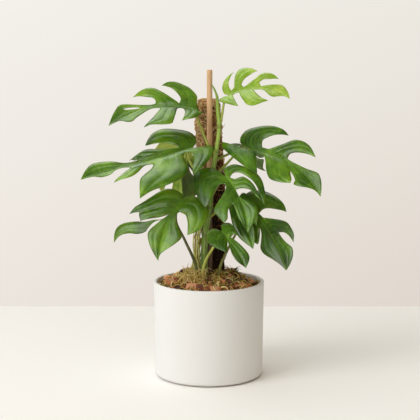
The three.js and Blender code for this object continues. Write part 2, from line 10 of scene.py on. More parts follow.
import bpy
import numpy as np
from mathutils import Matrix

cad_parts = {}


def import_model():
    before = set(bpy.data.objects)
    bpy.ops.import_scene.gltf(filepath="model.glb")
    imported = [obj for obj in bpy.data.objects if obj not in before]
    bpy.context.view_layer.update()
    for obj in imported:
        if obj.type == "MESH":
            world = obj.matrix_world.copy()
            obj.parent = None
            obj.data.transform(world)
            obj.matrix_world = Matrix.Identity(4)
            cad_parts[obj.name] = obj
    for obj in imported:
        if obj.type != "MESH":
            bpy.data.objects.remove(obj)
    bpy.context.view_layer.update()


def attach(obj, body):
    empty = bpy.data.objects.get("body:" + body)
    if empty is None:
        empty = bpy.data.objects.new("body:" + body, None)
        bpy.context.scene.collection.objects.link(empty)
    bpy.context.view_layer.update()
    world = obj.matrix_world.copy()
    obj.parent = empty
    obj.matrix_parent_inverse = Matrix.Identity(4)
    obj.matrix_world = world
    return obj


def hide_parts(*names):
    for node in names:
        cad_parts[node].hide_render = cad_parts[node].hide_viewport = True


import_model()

MM = 0.001

# Driving dimensions, in millimetres
POT_RADIUS = 75.0
POT_HEIGHT = 130.0
POT_WALL = 4.5
POT_FLOOR = 8.0
POT_TAPER = 1.5
POT_LIP = 1.3
FOOT_CURVE = 6.0
SOIL_EDGE = 120.0
SOIL_HEAP = 20.0
FIT_GAP = 0.3
SOIL_RADIUS = POT_RADIUS - POT_WALL - FIT_GAP
POLE_RADIUS = 14.5
POLE_FOOT = 112.0
POLE_DOME = 9.0
STAKE_RADIUS = 3.7
STAKE_FOOT = 100.0
STAKE_TOP = 415.0
STAKE_SPOT = (1.0, -8.0)
STEM_FOOT = 5.4
STEM_TOP = 2.5
STEM_KNOT = 0.9
PETIOLE = 2.0
BASAL_PETIOLE = 2.6
KNEE = 1.9
MIDRIB = 1.1
BLADE = 0.55

# The camera that the photograph's pot fits
CAMERA_PLACE = (1.6 * MM, -1540 * MM, 443 * MM)
CAMERA_PITCH = math.radians(8)
CAMERA_LENS = 98.57


# Meshes

def placed(name, data):
    """An object in the scene that holds a mesh, a light or a camera."""
    made = bpy.data.objects.new(name, data)
    bpy.context.scene.collection.objects.link(made)
    return made


def piece(name, parts, materials, node=None):
    """One object out of parts that ride on the plant. A part holds points in millimetres, quads, tris
    and values.

    node is the solid that it stands for.
    """
    points, corners, sizes, looks, values = [], [], [], [], {}
    shift = 0
    names = sorted({key for part in parts for key in part["values"]})
    for part in parts:
        count = len(part["points"])
        points.append(part["points"])
        for faces in (part["quads"], part["tris"]):
            corners.append((faces + shift).ravel())
            sizes.append(np.full(len(faces), faces.shape[1]))
            looks.append(np.full(len(faces), part["look"]))
        for key in names:
            values.setdefault(key, []).append(np.broadcast_to(part["values"].get(key, 0.0), count))
        shift += count
    corners, sizes, looks = (np.concatenate(a).astype(np.int32) for a in (corners, sizes, looks))
    mesh = bpy.data.meshes.new(name)
    mesh.vertices.add(shift)
    mesh.vertices.foreach_set("co", (np.concatenate(points) * MM).astype(np.float32).ravel())
    mesh.loops.add(len(corners))
    mesh.loops.foreach_set("vertex_index", corners)
    mesh.polygons.add(len(sizes))
    mesh.polygons.foreach_set("loop_start", np.cumsum(sizes, dtype=np.int32) - sizes)
    mesh.polygons.foreach_set("use_smooth", np.ones(len(sizes), bool))
    mesh.polygons.foreach_set("material_index", looks)
    mesh.update(calc_edges=True)
    for key in names:
        layer = mesh.attributes.new(key, "FLOAT", "POINT")
        layer.data.foreach_set("value", np.concatenate(values[key]).astype(np.float32))
    for material in materials:
        mesh.materials.append(material)
    made = placed(name, mesh)
    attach(made, "root")
    if node:
        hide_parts(node)
    return made


def part(points, quads, tris, **values):
    """A part for piece, with the first of its materials."""
    return {"points": points, "quads": quads, "tris": tris, "look": 0, "values": values}


def grid_quads(rows, columns, closed=False):
    """The faces of a grid of rows × columns points. closed joins the last column to the first."""
    i, j = np.meshgrid(np.arange(rows - 1), np.arange(columns if closed else columns - 1), indexing="ij")
    k = (j + 1) % columns
    here, after = i * columns, (i + 1) * columns
    return np.stack([here + j, here + k, after + k, after + j], -1).reshape(-1, 4)


def caps(rows, sides):
    """The triangles that close rows of rings at both ends, to the two end points that come after the
    rings."""
    j = np.arange(sides)
    k = (j + 1) % sides
    end = (rows - 1) * sides
    first, last = np.full(sides, rows * sides), np.full(sides, rows * sides + 1)
    return np.concatenate([np.stack([first, k, j], -1), np.stack([last, end + j, end + k], -1)])


def repeated(faces, count, own):
    """One shape's faces for each of count shapes, which have own points each."""
    return (faces[None] + (np.arange(count) * own)[:, None, None]).reshape(-1, faces.shape[1])


def rings_of(x, y, z):
    """The points of rings, from arrays of rings × sides that fit each other."""
    return np.stack(np.broadcast_arrays(x, y, z), -1).reshape(-1, 3)


def turned(profile, sides, centre=(0.0, 0.0)):
    """A profile of (radius, height) turned round the vertical. The profile runs from axis to axis, and
    so that its outside is on its right, as a pot's is that starts under the base and goes up the wall."""
    profile = np.asarray(profile, float)
    around = 2 * np.pi * np.arange(sides) / sides
    radius, height = profile[1:-1, :1], profile[1:-1, 1:]
    points = rings_of(centre[0] + radius * np.cos(around), centre[1] + radius * np.sin(around), height)
    ends = [[*centre, profile[0, 1]], [*centre, profile[-1, 1]]]
    rows = len(profile) - 2
    return part(np.concatenate([points, ends]), grid_quads(rows, sides, closed=True), caps(rows, sides))


def tubes(paths, radii, sides, **values):
    """Closed round strands. paths is strands × places × 3, and radii is strands × places.

    A ring's point is its place + radius × (cos a × first + sin a × second). first is the part, square to
    the path, of the line that the path's direction leans on least, and second is square to both.
    """
    count, places, _ = paths.shape
    ahead = np.gradient(paths, axis=1)
    ahead /= np.linalg.norm(ahead, axis=-1, keepdims=True)
    fixed = np.linalg.svd(ahead, full_matrices=False)[2][:, -1][:, None]
    first = fixed - (fixed * ahead).sum(-1, keepdims=True) * ahead
    first /= np.linalg.norm(first, axis=-1, keepdims=True)
    second = np.cross(ahead, first)
    turn = (2 * np.pi * np.arange(sides) / sides)[:, None]
    away = np.cos(turn) * first[:, :, None] + np.sin(turn) * second[:, :, None]
    rings = paths[:, :, None] + radii[..., None, None] * away
    points = np.concatenate([rings.reshape(count, -1, 3), paths[:, :1], paths[:, -1:]], 1)
    own = places * sides + 2
    quads = repeated(grid_quads(places, sides, closed=True), count, own)
    tris = repeated(caps(places, sides), count, own)
    for key, value in values.items():
        at = np.broadcast_to(value, (count, places))
        values[key] = np.concatenate([np.repeat(at, sides, 1), at[:, :1], at[:, -1:]], 1).ravel()
    return part(points.reshape(-1, 3), quads, tris, **values)


def smooth_path(points, count):
    """count + 1 places at equal steps on the centripetal Catmull-Rom curve through the points."""
    points = np.asarray(points, float)
    points = np.concatenate([[2 * points[0] - points[1]], points, [2 * points[-1] - points[-2]]])
    knots = np.concatenate([[0], np.cumsum(np.linalg.norm(np.diff(points, axis=0), axis=1) ** 0.5)])
    t = np.linspace(knots[1], knots[-2], 40 * len(points))
    i = np.clip(np.searchsorted(knots, t, side="right") - 1, 1, len(points) - 3)

    def between(low, high, a, b):
        """a at the low knot and b at the high one, in a straight line between them."""
        share = ((t - knots[low]) / (knots[high] - knots[low]))[:, None]
        return a + (b - a) * share

    p = [points[i + n] for n in (-1, 0, 1, 2)]
    a = [between(i - 1 + n, i + n, p[n], p[n + 1]) for n in (0, 1, 2)]
    b = [between(i - 1 + n, i + 1 + n, a[n], a[n + 1]) for n in (0, 1)]
    return even_steps(between(i, i + 1, b[0], b[1]), count)


def even_steps(line, count):
    """count + 1 places at equal steps along a line of many points."""
    run = np.concatenate([[0], np.cumsum(np.linalg.norm(np.diff(line, axis=0), axis=1))])
    at = np.linspace(0, run[-1], count + 1)
    return np.stack([np.interp(at, run, line[:, n]) for n in range(line.shape[1])], -1)


def ripples(points, size, seed):
    """Smooth noise from -1 to 1: the sum of 28 plane waves with random directions, phases and lengths
    round size."""
    draw = np.random.default_rng(seed)
    ways = draw.normal(size=(28, points.shape[-1]))
    ways *= (2 * np.pi / size) * draw.uniform(0.5, 1.6, (28, 1)) / np.linalg.norm(ways, axis=1, keepdims=True)
    return np.sin(points @ ways.T + draw.uniform(0, 2 * np.pi, 28)).sum(-1) / 14**0.5 * 0.5


def eased(x):
    """0 below 0, 1 above 1, and a smooth step between."""
    x = np.clip(x, 0, 1)
    return x * x * (3 - 2 * x)


# Colours and node helpers

def tint(red, green, blue):
    """A colour as seen on a screen, 0 to 255 a channel, as the linear colour that shaders take."""
    seen = [c / 255 for c in (red, green, blue)]
    return tuple(c / 12.92 if c < 0.04045 else ((c + 0.055) / 1.055) ** 2.4 for c in seen) + (1.0,)


def join(tree, made, inputs):
    """Sets each input of a node to a value, or joins it to a socket."""
    for key, value in inputs.items():
        if isinstance(value, bpy.types.NodeSocket):
            tree.links.new(value, made.inputs[key])
        else:
            made.inputs[key].default_value = value
    return made


def node(tree, kind, inputs, **settings):
    """A node with its inputs and settings."""
    made = tree.nodes.new("ShaderNode" + kind)
    for key, value in settings.items():
        setattr(made, key, value)
    return join(tree, made, inputs)


def blended(tree, share, low, high):
    """The colour share of the way from low to high."""
    return node(tree, "Mix", {0: share, 6: low, 7: high}, data_type="RGBA").outputs[2]


def maths(tree, operation, a, b, clamp=False):
    """Two numbers put together, and held between 0 and 1 by clamp."""
    return node(tree, "Math", {0: a, 1: b}, operation=operation, use_clamp=clamp).outputs[0]


def plus(tree, a, b, clamp=False):
    """a + b."""
    return maths(tree, "ADD", a, b, clamp)


def times(tree, a, b):
    """a × b."""
    return maths(tree, "MULTIPLY", a, b)


def swing(tree, value, reach):
    """A number round 0.5 as one round 0: (value - 0.5) × reach."""
    return times(tree, maths(tree, "SUBTRACT", value, 0.5), reach)


def value_of(tree, name):
    """A value that the piece carries at each point."""
    return node(tree, "Attribute", {}, attribute_name=name).outputs["Fac"]


def fade(tree, value, start, end):
    """1 where value is start and 0 where it is end, smooth between."""
    ends = {"Value": value, "From Min": start, "From Max": end, "To Min": 1.0, "To Max": 0.0}
    return node(tree, "MapRange", ends, interpolation_type="SMOOTHSTEP").outputs[0]


def climb(tree, value, start, end):
    """0 where value is start and 1 where it is end, straight between."""
    return node(tree, "MapRange", {"Value": value, "From Min": start, "From Max": end}).outputs[0]


def ramp(tree, share, stops):
    """A colour ramp through stops of (place, red, green, blue), the colours as for tint."""
    made = node(tree, "ValToRGB", {"Fac": share})
    bar = made.color_ramp.elements
    while len(bar) < len(stops):
        bar.new(0.5)
    for element, (place, *colour) in zip(bar, stops):
        element.position = place
        element.color = tint(*colour)
    return made.outputs["Color"]


def noise(tree, place, scale, detail=4.0, roughness=0.55):
    """Cloudy noise round 0.5."""
    inputs = {"Vector": place, "Scale": scale, "Detail": detail, "Roughness": roughness}
    return node(tree, "TexNoise", inputs).outputs["Fac"]


def object_place(tree, stretch=(1, 1, 1)):
    """The point on the object, in metres, with each axis stretched."""
    place = node(tree, "TexCoord", {}).outputs["Object"]
    return node(tree, "Mapping", {"Vector": place, "Scale": stretch}).outputs[0]


def height_of(tree):
    """The point's height above the floor, in metres."""
    return node(tree, "SeparateXYZ", {0: object_place(tree)}).outputs["Z"]


def group(name, inputs, outputs):
    """An empty node group with named numbers in, each with its default, and named numbers out."""
    tree = bpy.data.node_groups.new(name, "ShaderNodeTree")
    for label, value in inputs.items():
        tree.interface.new_socket(label, in_out="INPUT", socket_type="NodeSocketFloat").default_value = value
    for label in outputs:
        tree.interface.new_socket(label, in_out="OUTPUT", socket_type="NodeSocketFloat")
    return tree, tree.nodes.new("NodeGroupInput").outputs, tree.nodes.new("NodeGroupOutput")


def use(tree, shared, **inputs):
    """What a shared group puts out in a material, with its inputs set."""
    return node(tree, "Group", inputs, node_tree=shared).outputs


def finish_of(name, colour_of, roughness, specular, **constants):
    """A material whose colour, bump height and roughness share come from colour_of, run on its node
    tree.

    colour_of gives (colour, height or None, bump distance, roughness socket or None).
    """
    material = bpy.data.materials.new(name)
    material.use_nodes = True
    tree = material.node_tree
    tree.nodes.clear()
    colour, height, depth, rough = colour_of(tree)
    shader = node(tree, "BsdfPrincipled", {"Base Color": colour, "Specular IOR Level": specular})
    join(tree, shader, {"Roughness": roughness if rough is None else rough})
    join(tree, shader, {key.replace("_", " "): value for key, value in constants.items()})
    if height is not None:
        bump = node(tree, "Bump", {"Height": height, "Distance": depth, "Strength": 1.0})
        join(tree, shader, {"Normal": bump.outputs["Normal"]})
    node(tree, "OutputMaterial", {0: shader.outputs[0]})
    return material


# Shared effects

def grain_group():
    """Fine specks of two sizes: a mask round 0.5 for colour and a height for bumps."""
    inputs = {"Coarse": 60.0, "Fine": 400.0, "Contrast": 2.0}
    tree, given, end = group("fine_grain", inputs, ("Mask", "Height"))
    place = object_place(tree)
    coarse = noise(tree, place, given["Coarse"], 3.0)
    fine = noise(tree, place, given["Fine"], 5.0)
    both = plus(tree, times(tree, coarse, 0.6), times(tree, fine, 0.4))
    mask = plus(tree, swing(tree, both, given["Contrast"]), 0.5, clamp=True)
    join(tree, end, {"Mask": mask, "Height": fine})
    return tree


def blade_group():
    """The markings of a cut leaf: masks of its veins and of its blotches, and a height.

    rib_mm, vein_mm and fine_mm are the distances to the midrib, to the lobe's own vein and to the
    nearest thin vein beside it; each line is 1 on the vein and fades within Width millimetres, or a
    share of that.
    """
    inputs = {"Width": 0.9, "Blotch": 2.0}
    tree, given, end = group("blade_markings", inputs, ("Veins", "Thin", "Blotches", "Height"))
    width = given["Width"]
    along = value_of(tree, "along")
    rib = fade(tree, value_of(tree, "rib_mm"), 0.25, times(tree, width, 1.3))
    vein = fade(tree, value_of(tree, "vein_mm"), 0.1, width)
    vein = times(tree, vein, fade(tree, along, 0.55, 1.0))
    thin = fade(tree, value_of(tree, "fine_mm"), 0.0, times(tree, width, 1.6))
    thin = times(tree, thin, fade(tree, along, 0.45, 0.95))
    veins = maths(tree, "MAXIMUM", rib, times(tree, vein, 0.35))
    place = object_place(tree)
    broad, small = noise(tree, place, 28.0, 2.0), noise(tree, place, 240.0, 4.0)
    both = plus(tree, times(tree, broad, 0.75), times(tree, small, 0.25))
    blotches = plus(tree, swing(tree, both, given["Blotch"]), 0.5, clamp=True)
    cells = node(tree, "TexVoronoi", {"Vector": place, "Scale": 900.0}, feature="F1").outputs["Distance"]
    lines = plus(tree, times(tree, veins, -0.8), times(tree, thin, -0.2))
    height = plus(tree, lines, times(tree, cells, 0.03))
    join(tree, end, {"Veins": veins, "Thin": thin, "Blotches": blotches, "Height": height})
    return tree


GRAIN = grain_group()
MARKINGS = blade_group()


# Materials

def leaf_finish(name, greens, vein, under, pale, gloss):
    """A glossy blade: blotches through greens from dark to light, moved by the leaf's tone, soft paler veins,
    a thin pale yellow rim along the margin that is a painted highlight, an underside that is duller and pale
    by the share pale, and a stalk with long streaks."""

    def colour_of(tree):
        marks = use(tree, MARKINGS, Width=1.0, Blotch=2.2)
        tone, below = value_of(tree, "tone"), value_of(tree, "under")
        base = ramp(tree, plus(tree, marks["Blotches"], tone, clamp=True), greens)
        base = blended(tree, times(tree, marks["Thin"], 0.1), base, vein)
        base = blended(tree, times(tree, marks["Veins"], 0.4), base, vein)
        # painted highlight: a pale yellow rim within 0.8 mm of the blade's edge
        margin = fade(tree, value_of(tree, "edge_mm"), 0.0, 0.8)
        base = blended(tree, times(tree, margin, 0.25), base, tint(112, 112, 40))
        base = blended(tree, below, base, blended(tree, pale, base, under))
        streak = noise(tree, object_place(tree, (1, 1, 0.15)), 300.0, 3.0)
        stalk = ramp(tree, plus(tree, tone, swing(tree, streak, 0.7), clamp=True), STALK_GREENS)
        base = blended(tree, value_of(tree, "stalk"), base, stalk)
        smear = noise(tree, object_place(tree), 45.0, 3.0)
        rough = plus(tree, times(tree, smear, 0.16), gloss - 0.08)
        rough = plus(tree, rough, times(tree, below, 0.2))
        return base, marks["Height"], 0.0002, rough

    return finish_of(name, colour_of, gloss, 0.5, Subsurface_Weight=0.1, Subsurface_Scale=0.003)


def pot_finish():
    """Matt white ceramic: a very even body with faint specks, a fine tooth, and painted contact shadow that
    darkens the lowest 4 mm of the foot.
    """

    def colour_of(tree):
        grain = use(tree, GRAIN, Coarse=22.0, Fine=900.0, Contrast=1.2)
        body = blended(tree, grain["Mask"], tint(223, 222, 220), tint(228, 227, 225))
        # painted contact shadow: the lowest 4 mm of the pot, where it meets the floor, darkened to a warm
        # grey
        foot = times(tree, fade(tree, height_of(tree), 0.0005, 0.004), 0.85)
        body = blended(tree, foot, body, tint(150, 138, 124))
        rough = plus(tree, times(tree, grain["Mask"], 0.14), 0.5)
        return body, grain["Height"], 0.00012, rough

    return finish_of("matt_white_ceramic", colour_of, 0.55, 0.4)


def wood_finish():
    """Bare pale wood: long thin grain lines up the stake and darker pores, and a dark grey-brown lower end,
    darker from 0.275 m down to 0.235 m.
    """

    def colour_of(tree):
        lines = noise(tree, object_place(tree, (1, 1, 0.03)), 900.0, 4.0, 0.6)
        broad = noise(tree, object_place(tree, (1, 1, 0.15)), 60.0, 2.0)
        share = plus(tree, times(tree, lines, 0.6), times(tree, broad, 0.4))
        colour = ramp(tree, share, [(0.3, 150, 108, 72), (0.48, 204, 164, 122), (0.7, 228, 196, 156)])
        # the stake turns dark grey-brown towards its lower end, from 0.275 m down to 0.235 m
        darker_low = times(tree, fade(tree, height_of(tree), 0.235, 0.275), 0.85)
        return blended(tree, darker_low, colour, tint(66, 50, 38)), lines, 0.0003, None

    return finish_of("pale_stake_wood", colour_of, 0.62, 0.3)


def strand_finish(name, stops, roughness, streak=0.3):
    """Fibre, moss or bark whose colour is picked for each strand by its tone, with streaks of light and
    dark."""

    def colour_of(tree):
        grain = use(tree, GRAIN, Coarse=150.0, Fine=1400.0, Contrast=2.6)
        share = plus(tree, value_of(tree, "tone"), swing(tree, grain["Mask"], streak), clamp=True)
        return ramp(tree, share, stops), grain["Height"], 0.0006, None

    return finish_of(name, colour_of, roughness, 0.2)


def stem_finish():
    """The climbing stem: nearly black-green at the foot, fresh green above, with pale streaks and darker
    knots."""

    def colour_of(tree):
        share = climb(tree, height_of(tree), 0.12, 0.4)
        colour = ramp(
            tree, share,
            [(0.04, 14, 38, 6), (0.12, 88, 114, 30), (0.3, 110, 138, 42), (0.5, 104, 138, 40),
             (0.75, 154, 178, 78), (1.0, 116, 146, 50)],
        )
        streak = noise(tree, object_place(tree, (1, 1, 0.12)), 420.0, 4.0)
        pale = times(tree, fade(tree, streak, 0.62, 0.48), fade(tree, share, 0.35, 0.9))
        colour = blended(tree, times(tree, pale, 0.5), colour, tint(170, 186, 104))
        colour = blended(tree, times(tree, value_of(tree, "knot"), 0.6), colour, tint(86, 84, 36))
        return colour, streak, 0.0006, None

    return finish_of("climbing_stem_green", colour_of, 0.42, 0.4)


STALK_GREENS = [(0.0, 44, 58, 18), (0.35, 104, 104, 34), (0.65, 146, 156, 54), (1.0, 190, 198, 92)]
LEAF_GREEN = leaf_finish(
    "glossy_leaf",
    [(0.0, 24, 50, 2), (0.35, 44, 82, 4), (0.65, 76, 120, 10), (1.0, 118, 160, 34)],
    tint(126, 168, 66), tint(92, 128, 50), 0.6, 0.3,
)
LEAF_YOUNG = leaf_finish(
    "young_leaf",
    [(0.0, 84, 124, 8), (0.5, 120, 160, 20), (1.0, 186, 208, 90)],
    tint(200, 218, 120), tint(160, 190, 70), 0.6, 0.34,
)
LEAF_LIT = leaf_finish(
    "leaf_lit_through",
    [(0.0, 22, 50, 12), (0.3, 44, 82, 16), (0.6, 112, 152, 20), (1.0, 176, 198, 86)],
    tint(70, 92, 30), tint(124, 164, 28), 0.15, 0.4,
)
CERAMIC = pot_finish()
WOOD = wood_finish()
STEM = stem_finish()
COIR = strand_finish(
    "coir_fibre",
    [(0.0, 26, 16, 8), (0.3, 86, 54, 26), (0.6, 174, 124, 70), (1.0, 242, 208, 154)],
    0.9, 0.6,
)
MIX = strand_finish(
    "potting_mix",
    [(0.0, 28, 20, 12), (0.4, 76, 52, 32), (0.75, 120, 84, 52), (1.0, 164, 124, 80)],
    0.95, 0.7,
)
BARK = strand_finish(
    "bark_chip",
    [(0.0, 70, 46, 38), (0.15, 116, 78, 70), (0.3, 128, 68, 42), (0.55, 204, 126, 84), (0.8, 200, 152, 112),
     (1.0, 220, 188, 150)],
    0.85, 0.6,
)
MOSS = strand_finish(
    "moss_strand",
    [(0.0, 44, 46, 18), (0.3, 110, 104, 36), (0.55, 180, 152, 70), (0.8, 220, 192, 116),
     (1.0, 246, 226, 164)],
    0.8,
)
DRY = strand_finish(
    "dry_root",
    [(0.0, 112, 60, 24), (0.35, 160, 142, 62), (0.65, 200, 196, 106), (1.0, 230, 230, 156)],
    0.75, 0.8,
)


# Leaves. The outlines and places are those of the solids: see the words over each table.

# u runs from the petiole to the tip and v across, positive to the left. bow is how far the midrib swings
# to the left. A leaf is (length, bow, left lobes, right lobes). A lobe is (root, bay, out, tip, back):
# root is where the slit before it starts on the midrib, bay is the slit's inner end, out are points of the
# edge that looks to the petiole, tip is its point, and back are points of the edge that looks to the
# leaf's tip. The last lobe of each side ends at the leaf's tip and the midrib.
OUTLINES = {
    "leaf_01": (121, -15, [
        (0, (0, 0), [(-5, 3), (5, 11), (16, 16)], (27, 18), [(22, 9), (19, -2)]),
        (22, (23, -7), [(28, -6), (31, 1), (37, 15), (41, 21), (53, 21), (66, 19)], (77, 21), [(68, 11),
         (60, 3), (53, -5)]),
        (48, (50, -10), [(59, -12), (67, -10), (77, -4), (84, 1), (90, 6), (97, 4), (105, -2),
         (113, -2)]),
    ], [
        (0, (0, 0), [(1, -12), (-1, -22), (5, -35), (12, -42), (22, -48), (33, -49)], (42, -45),
         [(36, -42), (29, -38), (24, -31), (21, -21)]),
        (24, (24, -15), [(31, -22), (39, -31), (46, -38), (53, -43), (62, -44), (71, -41)], (82, -34),
         [(72, -33), (64, -31), (57, -28), (54, -23)]),
        (52, (55, -19), [(62, -19), (80, -22), (100, -26), (108, -20), (115, -11)]),
    ]),
    "leaf_02": (154, 6, [
        (0, (0, 0), [(-11, 1), (-24, 0), (-27, 8), (-18, 23), (-4, 37), (7, 45)], (18, 52), [(14, 39),
         (7, 25), (6, 13)]),
        (17, (13, 8), [(18, 15), (19, 32), (23, 45), (33, 54), (47, 58), (62, 60), (77, 62)], (93, 68),
         [(88, 50), (83, 38), (75, 32), (66, 26)]),
        (56, (59, 18), [(66, 16), (73, 17), (81, 23), (88, 27), (95, 29), (105, 29)], (116, 29),
         [(106, 21), (97, 16), (91, 14)]),
        (84, (89, 11), [(95, 8), (102, 7), (109, 8), (115, 12), (122, 12), (129, 10), (137, 4),
         (146, 2)]),
    ], [
        (0, (0, 0), [(-8, -8), (-8, -19), (-2, -28), (12, -35), (29, -39), (44, -35), (54, -26)],
         (60, -17), [(45, -16), (32, -14), (23, -9)]),
        (20, (18, -3), [(25, -3), (41, -6), (55, -10), (64, -10), (75, -6)], (87, -1), [(82, 0)]),
        (76, (76, 2.5), [(82, 2.5), (89, 2), (97, -1), (106, -7), (117, -12), (127, -15), (135, -15),
         (142, -11), (149, -5)]),
    ]),
    "leaf_03": (91, -9, [
        (0, (0, 0), [(-6, 8), (-7, 28), (12, 38), (33, 34)], (46, 22), [(37, 19), (30, 16), (24, 12),
         (20, 7)]),
        (19, (21, 1), [(26, -1), (32, 1), (39, 6), (48, 15), (54, 16), (65, 10), (75, 3), (83, -1)]),
    ], [
        (0, (0, 0), [(-4, -5), (-5, -14), (-2, -26), (6, -34), (17, -41), (28, -48), (38, -55)],
         (49, -58), [(45, -53)]),
        (12, (42, -47), [(47, -45)], (52, -41), [(48, -36), (42, -27), (37, -19), (32, -13)]),
        (24, (28, -10), [(34, -12), (40, -18), (44, -26), (51, -36), (54, -45), (59, -55), (64, -62),
         (71, -66), (80, -66)], (91, -62), [(83, -60), (77, -56), (72, -48), (69, -38), (63, -30),
         (56, -28), (46, -24)]),
        (33, (40, -17), [(48, -21), (56, -25), (64, -26), (74, -20), (83, -11)]),
    ]),
    "leaf_04": (81, 6, [
        (0, (0, 0), [(-11, 2), (-14, 8), (-13, 19), (-3, 32), (8, 40), (20, 43), (36, 41), (47, 38)],
         (54, 33), [(40, 33), (29, 33), (18, 31), (10, 27), (3, 22), (-1, 16), (-1, 10)]),
        (4, (3, 5), [(7, 10), (7, 20), (12, 25), (20, 29), (30, 31), (39, 31)], (48, 32), [(38, 27),
         (29, 23), (24, 17), (22, 11)]),
        (16, (22, 6), [(28, 6), (36, 9), (42, 14), (49, 20), (57, 22), (67, 16), (75, 8)]),
    ], [
        (0, (0, 0), [(-6, -3), (-15, -9), (-22, -20), (-24, -31), (-15, -40), (4, -45), (20, -44)],
         (32, -40), [(27, -33), (20, -26), (13, -19), (9, -12)]),
        (9, (10, -5), [(16, -6), (24, -14), (32, -24), (39, -32), (45, -31), (53, -28)], (60, -25),
         [(56, -19), (49, -16), (43, -12)]),
        (30, (40, -5), [(49, -5), (58, -5), (67, -3), (75, -1)]),
    ]),
    "leaf_05": (83, 11, [
        (0, (0, 0), [(-7, 2), (-11, 8), (-12, 16), (-11, 24), (-7, 31)], (0, 36), [(-3, 30), (-4, 22),
         (-2, 12)]),
        (5, (2, 7), [(5, 12), (4, 22), (4, 32), (7, 40), (14, 43), (23, 42)], (33, 37), [(27, 34),
         (21, 28), (17, 22), (15, 15)]),
        (21, (19, 12), [(23, 15), (28, 20), (33, 26), (37, 32), (43, 35), (50, 35), (57, 32)], (63, 27),
         [(53, 26), (45, 25), (41, 22), (39, 18)]),
        (39, (42, 14), [(51, 16), (59, 18), (67, 19), (73, 16), (79, 8)]),
    ], [
        (0, (0, 0), [(-6, -4), (-12, -6), (-10, -12), (-4, -15), (3, -17), (11, -20)], (19, -22),
         [(14, -15), (9, -7), (6, -1)]),
        (9, (9, 2), [(14, 2), (18, -5), (24, -13), (30, -19), (39, -20), (47, -16)], (56, -10), [(50, -8),
         (44, -4), (37, 2)]),
        (28, (33, 7), [(40, 8), (47, 7), (53, 2), (60, -2), (67, 0), (75, 2)]),
    ]),
    "leaf_06": (116, 13, [
        (0, (0, 0), [(-13, 0), (-21, 5), (-23, 13), (-21, 22), (-13, 31), (-1, 40), (12, 45), (24, 46)],
         (33, 43), [(25, 39), (17, 34), (11, 27), (8, 19)]),
        (17, (13, 11), [(20, 12), (26, 19), (34, 30), (41, 40), (48, 45), (58, 47), (68, 45)], (80, 38),
         [(74, 37), (65, 34), (55, 29), (50, 23)]),
        (46, (51, 16), [(57, 16), (65, 17), (80, 19), (91, 22), (97, 22), (105, 16), (112, 7)]),
    ], [
        (0, (0, 0), [(-14, -6), (-28, -8), (-42, -9), (-33, -17), (-16, -21), (4, -24), (20, -26)],
         (33, -25), [(26, -17), (18, -9), (13, -1)]),
        (14, (17, 3), [(23, 2), (30, -4), (38, -13), (47, -20), (54, -21), (65, -17)], (75, -10),
         [(73, -5), (69, -1)]),
        (52, (65, 3), [(71, 1), (77, -3), (79, -9), (88, -6), (97, -1), (106, 2)]),
    ]),
    "leaf_07": (94, 6, [
        (0, (0, 0), [(-9, -4), (-29, -4), (-32, 3), (-30, 12), (-23, 22), (-14, 30), (2, 38), (16, 41)],
         (27, 39), [(21, 34), (14, 27), (9, 21), (6, 14)]),
        (8, (7, 6), [(14, 7), (19, 12), (26, 20), (33, 28), (40, 33), (49, 34), (59, 33)], (68, 27),
         [(62, 27), (56, 26), (50, 23)]),
        (42, (46, 17), [(53, 17), (63, 19), (71, 22), (77, 21), (84, 16), (90, 8)]),
    ], [
        (0, (0, 0), [(5, -4), (11, -7), (17, -11), (24, -15), (32, -18), (39, -18)], (45, -15),
         [(42, -11), (34, -6)]),
        (20, (27, -2), [(35, -4), (43, -9), (50, -14), (56, -15), (63, -13), (72, -8), (83, -3)]),
    ]),
    "leaf_08": (60, 1, [
        (0, (0, 0), [(-9, 6), (-3, 16)], (26, 15), [(13, 12)]),
        (9, (14, 5), [(27, 9), (48, 12)]),
    ], [
        (0, (0, 0), [(-9, -7), (-6, -19), (9, -25)], (31, -12), [(24, -7)]),
        (11, (17, -2), [(27, -5), (36, -7), (48, -6)]),
    ]),
    "leaf_09": (72, 0, [
        (0, (0, 0), [(-6, 9), (8, 18), (26, 20)], (44, 12), [(30, 7)]),
        (14, (20, 4), [(36, 7), (54, 8)]),
    ], [
        (0, (0, 0), [(-6, -7), (5, -15), (20, -17), (33, -18), (44, -17), (55, -13)]),
    ]),
}

# A leaf is (at, heading, dip, roll, bend, fold, arch). at is the end of the petiole; heading is the way
# the midrib points, seen from above (0 is +X, 90 is +Y); dip is how far it points down; roll turns the
# blade about the midrib; bend is how far it droops from petiole to tip; fold is how steeply each half
# rises from the midrib; arch is how far the halves come down again, in millimetres.
LEAVES = {
    "leaf_01": ((-13, -24, 361), 196, 1, -46, 22, 14, 7),
    "leaf_02": ((-21, -34, 314), 200, 6, -38, 22, 12, 13),
    "leaf_03": ((-32, -48, 249), 236, 52, -38, 20, 10, 6),
    "leaf_04": ((22, -50, 277), 303, 49, 24, 22, 10, 6),
    "leaf_05": ((27, -10, 382), 335, -5, 50, 25, 12, 5),
    "leaf_06": ((54, -30, 311), 323, 22, 50, 25, 12, 8),
    "leaf_07": ((59, -30, 228), 299, 41, 46, 25, 10, 8),
    "leaf_08": ((17, -60, 207), 313, 38, 28, 22, 10, 4),
    "leaf_09": ((39, -34, 247), 298, 55, 22, 15, 8, 4),
    "leaf_10": ((-29, 24, 305), 92, 48, 0, 26, 10, 7),
    "leaf_11": ((48, 22, 312), 62, 16, -8, 34, 10, 7),
}
COPIES = {"leaf_10": ("leaf_07", 1.2), "leaf_11": ("leaf_06", 0.66)}
BASAL = ("leaf_03", "leaf_07", "leaf_08")
